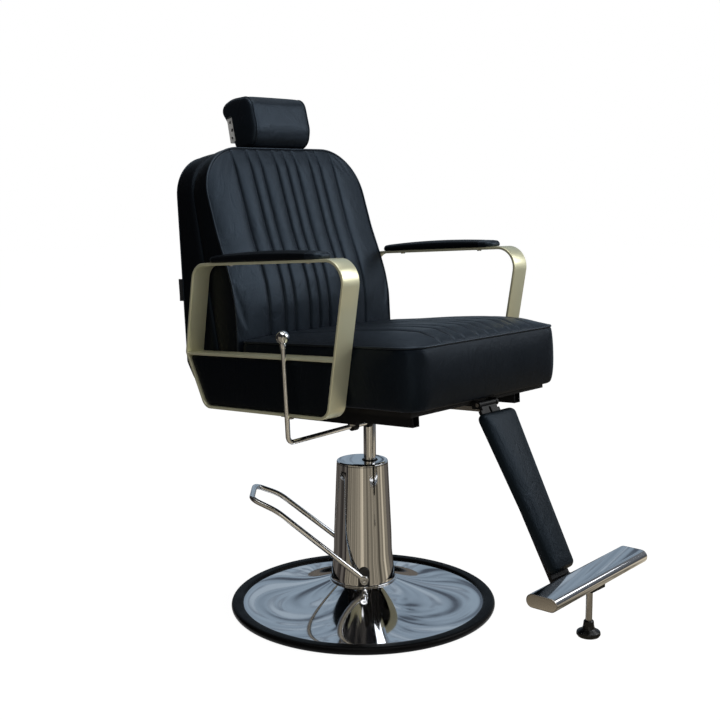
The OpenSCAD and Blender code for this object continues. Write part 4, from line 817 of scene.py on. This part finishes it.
# held: the seams at both ends and the rear, where the steel channel sits
seam_a, seam_b = HEAD_SEAM * m, (len(rings) - 1 - HEAD_SEAM) * m
pins = set(range(seam_a, seam_a + 2 * m)) | set(range(seam_b - m, seam_b + m))
pins |= {i for i, (x, y, z) in enumerate(pts) if y > 3 and 505 < z < 615}
puff(head, pins, np.full(len(pts), 0.0035), pressure=3.5)
p = points(head.data).astype(float)
for letter, first in (("a", seam_a), ("b", seam_b)):
    welt("headrest_piping_" + letter, p[first:first + m], 1.35, "headrest", sides=8)
smooth_up(head)
# pockets for the steel channel and for the post
cut_box(head, BACK, [-120, 4.7, 535.7], [120, 90, 592.3])
cut_box(head, BACK, [-22, 1, 480], [22, 61, 537])

# ---- arms, their panels and pads
SIDES = ((1, "left"), (-1, "right"))
ARM_LEAN, DROP, FRONT, HEEL, KNEE, MID, TOP, T = 0.232, 17.0, -165.7, 215, 268.0, 103.0, 296.0, 6.0
ARM_X, ARM_W = 273.0, 46
ARM_R = [32, 28, 8, 42, 46]
PANEL_X = 253
# (depth, inset) of the panel's rings from its flat inner side to its crowned outer side
PANEL_RINGS = [(0, 3), (0.8, 1.2), (2.2, 0.2), (4, 0), (20, 0), (34, 0), (36.5, 0.3), (38, 1.2), (39.2, 2.8),
               (40.4, 6), (41.4, 11), (42.2, 17), (42.8, 26)]


def front_y(z):
    return FRONT - (z + DROP) * ARM_LEAN


def rear_y(z):
    return KNEE - (z - MID) * ARM_LEAN


ARM = [[front_y(-DROP), -DROP], [HEEL, -DROP], [KNEE, MID], [rear_y(TOP), TOP], [front_y(TOP), TOP]]
arm_line = rounded(inset(ARM, T / 2), [max(3, r - T / 2) for r in ARM_R], 14)
for side, nm in SIDES:
    loop = sweep(at_x(arm_line, side * ARM_X), bar_section(ARM_W, T, 1.3), side=[1, 0, 0], closed=True)
    ends = [[side * ARM_X, y, MID - 2.5] for y in (front_y(MID) + 3, rear_y(MID) - 3)]
    bar = sweep(ends, bar_section(ARM_W - 0.6, 5, 1.2), side=[1, 0, 0])
    add(nm + "_arm_frame", joined(loop, bar), SEAT, "seat", GOLD, [nm + "_arm"], sharp=35,
        weld=0)

# padded panel in the lower field of each arm loop, in the darker copy of the leather: painted shade
field = inset(ARM[:3] + [[front_y(MID), MID]], T + 0.4)
rings = [at_x(outline_at(field, [ARM_R[0] - T, ARM_R[1] - T, 6, 6], d, 12), PANEL_X + depth)
         for depth, d in PANEL_RINGS]
last = rings[-1]
for f in (0.8, 0.55, 0.3, 0.1):
    ring = last.mean(0) + (last - last.mean(0)) * f
    ring[:, 0] = last[:, 0] + 0.5 * (1 - f * f)
    rings.append(ring)
pts, faces = stack(rings)
for side, nm in SIDES:
    o = cover(nm + "_side_panel_cover", (pts * [side, 1, 1], faces), SEAT, "seat", LEATHER_SHADED_SIDE,
              nm + "_side_panel")
    smooth_up(o)

# arm pads: a long crowned pad with a sewn end piece. The pad takes the darker copy of the leather, painted
# shade; the end piece takes the lighter, shinier one, a painted highlight where the tip catches the light.
PAD_FRONT, PAD_REAR, PAD_HALF, PAD_SEAM, PAD_H = -162, 172, 26, -128, 14
PAD_BAND = [(0.9, 0.12), (1.5, 0.3), (1.6, 0.5), (1.3, 0.68), (0.6, 0.84), (-0.4, 0.95), (-1.6, 1)]


def pad_h(y):
    t = np.clip((y - PAD_FRONT) / (PAD_REAR - PAD_FRONT), 0, 1)
    return PAD_H + 24 * t * (1 - t)


def pad_top(x, y):
    g = 1 - np.abs(x / PAD_HALF) ** 2.6
    e = np.clip(np.minimum(y - PAD_FRONT, PAD_REAR - y) / 14, 0, 1)
    seam = 1.1 * np.exp(-((y - PAD_SEAM) / 1.6) ** 2)
    return pad_h(y) * (0.66 + 0.34 * g * np.sqrt(e * (2 - e))) - seam


arm_pad = Pad(PAD_HALF - 1.6, PAD_FRONT + 1.6, PAD_REAR - 1.6, 18, 18, pad_top, lambda y: pad_h(y) * 0.66,
              PAD_BAND, step=3.2)
for side, nm in SIDES:
    part = arm_pad.pts + [side * ARM_X, 0, TOP + 0.15], arm_pad.faces
    o = cover(nm + "_arm_pad_cover", part, SEAT, "seat", LEATHER_SHADED_SIDE, nm + "_arm_pad")
    # the end piece in front of the seam gets the lighter, shinier leather: painted highlight on the tip
    second_cover(o, LEATHER, lambda face: arm_pad.pts[list(face.vertices), 1].mean() < PAD_SEAM)
    smooth_up(o)

# ---- calf pad
CALF_L, CALF_T, CALF_CROWN, CALF_TOP, CALF_GAP = 339.0, 24.0, 7.5, -22, 4.15
HALF_BELOW, HALF_ABOVE, LYING_HALF = 35.5, 55, 50
CALF_BAND = [(1.0, 0.1), (1.9, 0.25), (2.4, 0.45), (2.4, 0.7), (1.6, 0.88), (0, 0.97), (-1.5, 1)]


def calf_top(x, s):
    g = 1 - np.abs(x / LYING_HALF) ** 3
    e = np.clip(np.minimum(s - 1, CALF_L - 1 - s) / 18, 0, 1)
    return CALF_T - CALF_CROWN + CALF_CROWN * np.sqrt(np.clip(g, 0, 1)) * np.sqrt(e * (2 - e))


def hung(p):
    """The lying pad hung under the leg hinge, narrower towards its foot."""
    x, s, height = p.T
    half = HALF_BELOW + (HALF_ABOVE - HALF_BELOW) * s / CALF_L - 2.2
    return np.stack([x * half / LYING_HALF, -CALF_GAP - height, CALF_TOP - CALF_L + s], 1)


calf_pad = Pad(LYING_HALF, 2.5, CALF_L - 2.5, 12, 12, calf_top, level(CALF_T - CALF_CROWN), CALF_BAND,
               step=4.2)
# the calf pad takes a darker, less shiny copy of the leather: painted shade
calf = cover("calf_cover", (hung(calf_pad.pts), calf_pad.faces), LEG, "leg_rest", LEATHER_SHADED_CALF, "calf_pad")
puff(calf, calf_pad.held(), calf_pad.caps(0.0022, 0.0004), pressure=2.0)
smooth_up(calf)

# ---- base: dish, rubber ring, column and ram
DISH_R, FLAT_R, DISH_H, DISH_RISE, DISH_T = 273.0, 74.0, 12, 48, 2
RING_R, RING_ROLL = 300, 8.5
COLUMN_TOP, COLUMN_BEND, COLUMN_WALL = 331, 128, 2


def dish_z(r):
    return DISH_H + DISH_RISE * ((DISH_R - r) / (DISH_R - FLAT_R)) ** 1.7


radii = np.linspace(DISH_R - 1.2, FLAT_R, 70)
top_z = DISH_H + DISH_RISE
line = [(DISH_R - 0.2, 10.6), (DISH_R, 11.4), (DISH_R - 0.35, 12.0)] + [(r, dish_z(r)) for r in radii]
line += [(47, top_z), (47, top_z - DISH_T)] + [(r, dish_z(r) - DISH_T) for r in radii[::-1]]
line += [(DISH_R - 0.8, 10.2)]
add("dish", lathe(line, 192, closed=True), BASE, "base", CHROME_DISH, ["base_dish"], sharp=50)

roll = np.linspace(-math.pi / 2, math.pi / 2, 19)
line = [(264.8, 0.3), (266, 0)]
line += [(RING_R - RING_ROLL + RING_ROLL * math.cos(a), RING_ROLL + RING_ROLL * math.sin(a)) for a in roll]
line += [(283, 17.1), (277.5, 16.9), (275, 16.2), (273.9, 15.2), (273.3, 13.6), (273.2, 9.4), (265, 7)]
add("rubber_ring", lathe(line, 192, closed=True), BASE, "base", RUBBER, ["base_ring"],
    sharp=35)


def column_r(z):
    """The column's two tapers, drawn in a little where they meet."""
    taper = np.interp(z, (top_z, COLUMN_BEND, COLUMN_TOP), (73, 67, 57.8))
    return taper - 0.9 * math.exp(-((z - COLUMN_BEND) / 26) ** 2)


foot_bead = [(74.6, 60.2), (75.2, 61.2), (75.2, 63.2), (74.4, 64.2), (72.9, 64.8)]
line = [(column_r(z), z) for z in np.linspace(66, COLUMN_TOP - 0.6, 60)]
wall = [(r - COLUMN_WALL, z) for r, z in reversed(line)] + [(71, 60.2)]
shell = lathe(foot_bead + line + wall, 144, closed=True)
add("column_cover", shell, PUMP, "base", CHROME, ["pump_cover"])

# the cap's rim is round the column, its hole round the ram
cap_line = [(17.8, 331), (57.0, 331.05), (57.6, 331.6), (57.7, 333), (57.3, 334.6), (56.2, 335.6),
            (54.6, 336), (40, 336.05), (22, 336), (18.2, 335.8), (17.5, 335.2), (17.5, 331.4)]
p, f = lathe(cap_line, 144, closed=True)
p[:, 0] -= RAM_BACK * np.clip((57 - np.hypot(p[:, 0], p[:, 1])) / 39, 0, 1)
add("column_cap", (p, f), PUMP, "base", CHROME, ["pump_cap"], sharp=35)
add("lift_ram", lathe(rod(14, 184.2, 457.7, 0.6), 72), CHAIR, "lift", CHROME_TUBE, ["ram"])

# ---- pedal
EYE_Y, REACH, PIVOT_Z, PEDAL_Z = 80.0, 246.0, 83.0, 264.0
bend_x, bend_z = 0.775 * REACH, PIVOT_Z + (PEDAL_Z - PIVOT_Z) * 0.865
half_loop = [[0, EYE_Y, PIVOT_Z], [bend_x, EYE_Y - 10, bend_z], [REACH, 0.72 * EYE_Y, PEDAL_Z]]
corners = half_loop + [[x, -y, z] for x, y, z in reversed(half_loop)]
path = rounded(corners, [0, 110, 24, 24, 110, 0], 9, closed=False)
eyes = [moved(lathe(rod(10, -6, 6, 1.2, 6.0), 48, closed=True), shift(0, s * EYE_Y, PIVOT_Z) @ turn_x(90))
        for s in (-1, 1)]
add("pedal_loop", joined(sweep(path, circle(6, 24)), *eyes), PUMP, "pedal", CHROME_TUBE,
    ["pedal_lever"], sharp=45, weld=0)

# black bezels behind the loop's eyes
BEZEL_HALF = 13
bezel = [[-BEZEL_HALF, 60.7], [BEZEL_HALF, 60.7], [BEZEL_HALF, 108], [-BEZEL_HALF, 108]]
parts = []
for s in (-1, 1):
    rings = []
    for y, d in ((66, 0), (72, 0), (72.8, 0.25), (73.2, 0.7), (73.4, 1.6)):
        top_r = BEZEL_HALF - 0.1 - d
        rings.append(at_x(rounded(inset(bezel, d), [1, 1, top_r, top_r], 10), s * y)[:, [1, 0, 2]])
    parts.append(stack(rings))
add("pedal_slot_bezels", joined(*parts), PUMP, "base", PLASTIC, ["pedal_bezels"], weld=0)

# ---- recline lever and ball
LEVER_Y, LEVER_Z, BALL_RISE, BALL_R = -75, -59.0, 204, 13.5
top = np.array([-307, LEVER_Y + 13, LEVER_Z + BALL_RISE - BALL_R - 3])
corners = [[-78, LEVER_Y, LEVER_Z], [-146, LEVER_Y, LEVER_Z], [-320, LEVER_Y, LEVER_Z - 5], top]
bar = sweep(rounded(corners, [0, 30, 12, 0], 12, closed=False), circle(5, 24))
collar = moved(lathe(rod(6.5, 0, 10.5, 0.6), 32), shift(top[0], top[1], top[2] - 6) @ turn_x(-4))
finger = sweep([[-83, LEVER_Y, LEVER_Z], [-78, LEVER_Y, LEVER_Z]], bar_section(8, 8, 0.8), side=[0, 1, 0])
add("recline_handle_rod", joined(bar, collar, finger), SEAT, "recline_handle", CHROME_TUBE,
    ["recline_lever"], weld=0)
line = [(0, -12.6), (5.6, -12.3)]
line += [(BALL_R * math.cos(t), BALL_R * math.sin(t)) for t in np.linspace(rad(-64), rad(89.9), 40)]
ball = SEAT @ shift(-306, LEVER_Y + 14, LEVER_Z + BALL_RISE) @ turn_x(-4)
add("recline_handle_ball", lathe(line, 64), ball, "recline_handle", CHROME, ["lever_ball"])

# ---- foot bar, its caps, stem and rubber foot
BAR_HALF, BAR_W, BAR_H, BAR_WALL = 175, 64, 26, 2
# (place along the bar, inset) of a cap's rings, from inside the bar to the cap's face
CAP_RINGS = [(167, 2.3), (174.9, 2.3), (175.05, 0), (176.4, 0), (177.1, 0.35), (177.5, 1.2), (177.6, 3)]


def flat_oval(d):
    """The bar's section moved inwards by d."""
    w, r = BAR_W / 2 - d, BAR_H / 2 - d
    right = [(w - r + r * math.cos(a), r * math.sin(a)) for a in np.linspace(-math.pi / 2, math.pi / 2, 18)]
    return right + [(-x, -z) for x, z in right]


along = [-BAR_HALF, 0.6 - BAR_HALF, -120, -60, 0, 60, 120, BAR_HALF - 0.6, BAR_HALF]
rings = [at_x(flat_oval(0), x) for x in along]
rings += [at_x(flat_oval(BAR_WALL), x) for x in (BAR_HALF, -BAR_HALF)]
tube = np.vstack(rings), grid_faces(len(rings), len(rings[0]), close_rows=True, close_cols=True)
add("footrest_bar", tube, FOOT, "leg_rest", CHROME, ["foot_bar"], weld=0)
ends = [stack([at_x(flat_oval(d), s * x) for x, d in CAP_RINGS]) for s in (-1, 1)]
add("footrest_caps", joined(*ends), FOOT, "leg_rest", CAP_METAL, ["foot_bar_caps"], sharp=35,
    weld=0)
add("foot_stem", lathe(rod(6.5, 104, 178.9, 0.4), 48), STEM, "leg_rest", SATIN, ["foot_rod"])
line = rounded([(0.01, 82), (20.5, 82), (23.4, 86), (22.6, 91.5), (12.2, 97.5), (10.6, 104), (9.8, 112.2),
                (8.2, 114), (6.7, 114), (6.7, 106), (0.01, 106)],
               [0, 1.5, 2.5, 3, 5, 4, 1.2, 0.8, 0.3, 0, 0], 5, closed=False)
add("foot_rubber", lathe(line, 64), STEM, "leg_rest", SHINY_RUBBER, ["rubber_foot"])

# ---- materials of the CAD pieces that stay
BY_NODE = {"headrest_channel": BRUSHED, "headrest_post": POST}
LOOK = {"black_rubber": RUBBER, "chrome": CHROME_TUBE, "black_paint": PAINT, "cast_iron": CAST,
        "bronze": BRONZE, "black_plastic": PLASTIC, "black_webbing": WEBBING, "black_plywood": PLY,
        "black_leather": LEATHER_SHADED_SIDE, "satin_gold": GOLD, "steel": SATIN}
slots = {s["node"]: s["material_slot"] for s in frame["record"]["subparts"]}
for n, o in frame["nodes"].items():
    o.data.materials.clear()
    o.data.materials.append(BY_NODE.get(n, LOOK[slots[n]]))


# ---- floor and world
def bare_tree(block):
    """The emptied node tree of a new material or world."""
    block.use_nodes = True
    block.node_tree.nodes.clear()
    return block.node_tree


def seen_by_eye_or_mirror(nt):
    """1 for camera, glossy and transmission rays, 0 for the rays that carry light."""
    rays = node(nt, "ShaderNodeLightPath").outputs
    seen = rays["Is Camera Ray"]
    for kind in ("Is Glossy Ray", "Is Transmission Ray"):
        seen = node(nt, "ShaderNodeMath", seen, rays[kind], operation="MAXIMUM").outputs[0]
    return seen


def stage_mesh(name, pts, faces, mat):
    me = bpy.data.meshes.new(name)
    me.from_pydata(pts, [], faces)
    me.materials.append(mat)
    o = linked(name, me)
    return o


FLOOR_HALF, FLOOR_GREY, FLOOR_GLOW, FLOOR_SHARE = 14, 0.86, 1.11, 0.85
floor_mat = bpy.data.materials.new("floor")
nt = bare_tree(floor_mat)
matt = node(nt, "ShaderNodeBsdfDiffuse", Color=(FLOOR_GREY, FLOOR_GREY, FLOOR_GREY, 1))
glow = node(nt, "ShaderNodeEmission", Color=(1, 1, 1, 1), Strength=FLOOR_GLOW)
share = node(nt, "ShaderNodeMath", seen_by_eye_or_mirror(nt), FLOOR_SHARE, operation="MULTIPLY")
mixed = node(nt, "ShaderNodeMixShader", share.outputs[0], matt.outputs[0], glow.outputs[0])
node(nt, "ShaderNodeOutputMaterial", Surface=mixed.outputs[0])
corners = [(x * FLOOR_HALF, y * FLOOR_HALF, 0) for x, y in ((-1, -1), (1, -1), (1, 1), (-1, 1))]
stage_mesh("floor", corners, [(0, 1, 2, 3)], floor_mat)

AMBIENT = 0.45
world = bpy.data.worlds.new("studio")
bpy.context.scene.world = world
nt = bare_tree(world)
ambient = node(nt, "ShaderNodeBackground", Color=(1, 1, 1, 1), Strength=AMBIENT)
white = node(nt, "ShaderNodeBackground", Color=(1, 1, 1, 1), Strength=1.0)
mixed = node(nt, "ShaderNodeMixShader", seen_by_eye_or_mirror(nt), ambient.outputs[0], white.outputs[0])
node(nt, "ShaderNodeOutputWorld", Surface=mixed.outputs[0])


# ---- reflection screens
# They stand round the chair, out of the picture, and glow though they are no lamps. Only shiny surfaces show
# them, as drapes and walls: painted reflections. They light nothing.
def reflection_screen(name, stops, scale, around, across, lean=0.25, detail=2.5, warp=0.5, gain=1.0):
    """A glowing wall or flat ring with soft streaks, seen only in reflections: a painted reflection. around:
    two angles. across: (radius, height) twice.
    """
    m = bpy.data.materials.new(name)
    nt = bare_tree(m)
    spot = node(nt, "ShaderNodeTexCoord").outputs["Object"]
    flat = node(nt, "ShaderNodeVectorMath", spot, (1, 1, 0), operation="MULTIPLY")
    unit = node(nt, "ShaderNodeVectorMath", flat.outputs[0], operation="NORMALIZE")
    tall = node(nt, "ShaderNodeVectorMath", spot, (0, 0, lean), operation="MULTIPLY")
    both = node(nt, "ShaderNodeVectorMath", unit.outputs[0], tall.outputs[0], operation="ADD")
    streaks = node(nt, "ShaderNodeTexNoise", Vector=both.outputs[0], Scale=scale, Detail=detail,
                   Roughness=0.45, Distortion=warp)
    glow = node(nt, "ShaderNodeEmission", Color=ramp(nt, streaks.outputs["Fac"], stops), Strength=gain)
    node(nt, "ShaderNodeOutputMaterial", Surface=glow.outputs[0])
    m.cycles.emission_sampling = "NONE"
    n = 48
    turn = [rad(a) for a in np.linspace(*around, n + 1)]
    pts = [(r * math.cos(t), r * math.sin(t), z) for r, z in across for t in turn]
    o = stage_mesh(name, pts, [(i, i + 1, n + 2 + i, n + 1 + i) for i in range(n)], m)
    o.visible_camera = o.visible_diffuse = o.visible_shadow = o.visible_volume_scatter = False


WARM = [(g, (v, 0.87 * v, 0.66 * v)) for g, v in
        ((0.36, 0.06), (0.43, 0.17), (0.49, 0.40), (0.535, 0.15), (0.60, 0.30), (0.68, 0.72))]
# a dark sheet that the leather's left sides and the metal show: painted shade in their reflections
reflection_screen("dark_side", [(0.4, (0.008, 0.008, 0.009)), (0.58, (0.03, 0.028, 0.026)), (0.7, (0.10, 0.09, 0.08))],
       2.0, (88, 168), ((2.2, 0), (2.2, 4.2)))
reflection_screen("drapes", WARM, 3.6, (160, 282), ((2.0, 0), (2.0, 0.95)))
reflection_screen("drapes_top", [(0.45, (0.008, 0.008, 0.009)), (0.66, (0.05, 0.045, 0.04))],
       2.2, (168, 272), ((2.0, 0.95), (2.0, 3.6)))
reflection_screen("wall_side", [(0.4, (0.05, 0.054, 0.062)), (0.65, (0.15, 0.16, 0.175))],
       1.6, (272, 350), ((2.45, 0), (2.45, 4.2)))
# the brightest sheet: painted sheen on the leather and painted highlights on the metal
reflection_screen("window", [(0.3, (0.82, 0.89, 0.97)), (0.7, (1.0, 1.0, 1.0))],
       1.0, (286, 330), ((2.4, 1.2), (2.4, 3.0)), gain=3.1)
reflection_screen("ceiling_side", [(0.34, (0.07, 0.085, 0.11)), (0.40, (0.20, 0.255, 0.315)),
                        (0.53, (0.29, 0.365, 0.44)), (0.56, (0.17, 0.21, 0.26)), (0.60, (0.36, 0.43, 0.50))],
       26.0, (-10, 88), ((2.6, 0), (2.6, 4.6)), lean=0.022, detail=2.0, warp=0.25)
# painted reflections of boards on the ground, which metal that looks down shows round the chair in place of
# the white floor
reflection_screen("ground_drapes", WARM, 3.6, (160, 335), ((0.33, 0.002), (2.6, 0.002)))
reflection_screen("ground", [(0.4, (0.035, 0.03, 0.027)), (0.6, (0.13, 0.115, 0.10))],
       2.9, (-25, 160), ((0.33, 0.002), (2.6, 0.002)))

# ---- lamps
def lamp(name, pos, aim, size, power, color=(1, 1, 1)):
    """A rectangular lamp at pos that faces aim."""
    light = bpy.data.lights.new(name, "AREA")
    light.shape = "RECTANGLE"
    light.size, light.size_y = size
    light.energy, light.color = power, color
    o = linked(name, light)
    o.location = pos
    o.rotation_euler = (Vector(aim) - Vector(pos)).to_track_quat("-Z", "Y").to_euler()


lamp("key", (2.6, -2.6, 1.9), (0, -0.05, 0.75), (2.2, 1.8), 62, (0.97, 0.985, 1.0))
lamp("top", (-0.3, -0.9, 3.2), (0, 0, 0.6), (2.4, 2.0), 29)
lamp("fill", (-2.4, -2.9, 1.3), (0, -0.1, 0.6), (0.9, 2.0), 16, (1.0, 0.98, 0.95))

# ---- camera, as fitted to the photograph
CAMERA_AT = (-1.7651, -1.6730, 0.9409)
CAMERA_HEADING, CAMERA_PITCH, CAMERA_ROLL = 46.451, -8.851, -0.402
cam = bpy.data.cameras.new("camera")
cam.sensor_width = 36
cam.lens = 55.508
cam.clip_end = 60
camera = linked("camera", cam)
camera.matrix_world = Matrix(shift(*CAMERA_AT) @ turn_z(-CAMERA_HEADING) @ turn_x(90 + CAMERA_PITCH)
                             @ turn_z(CAMERA_ROLL))
bpy.context.scene.camera = camera
bpy.context.scene.view_settings.view_transform = "Standard"
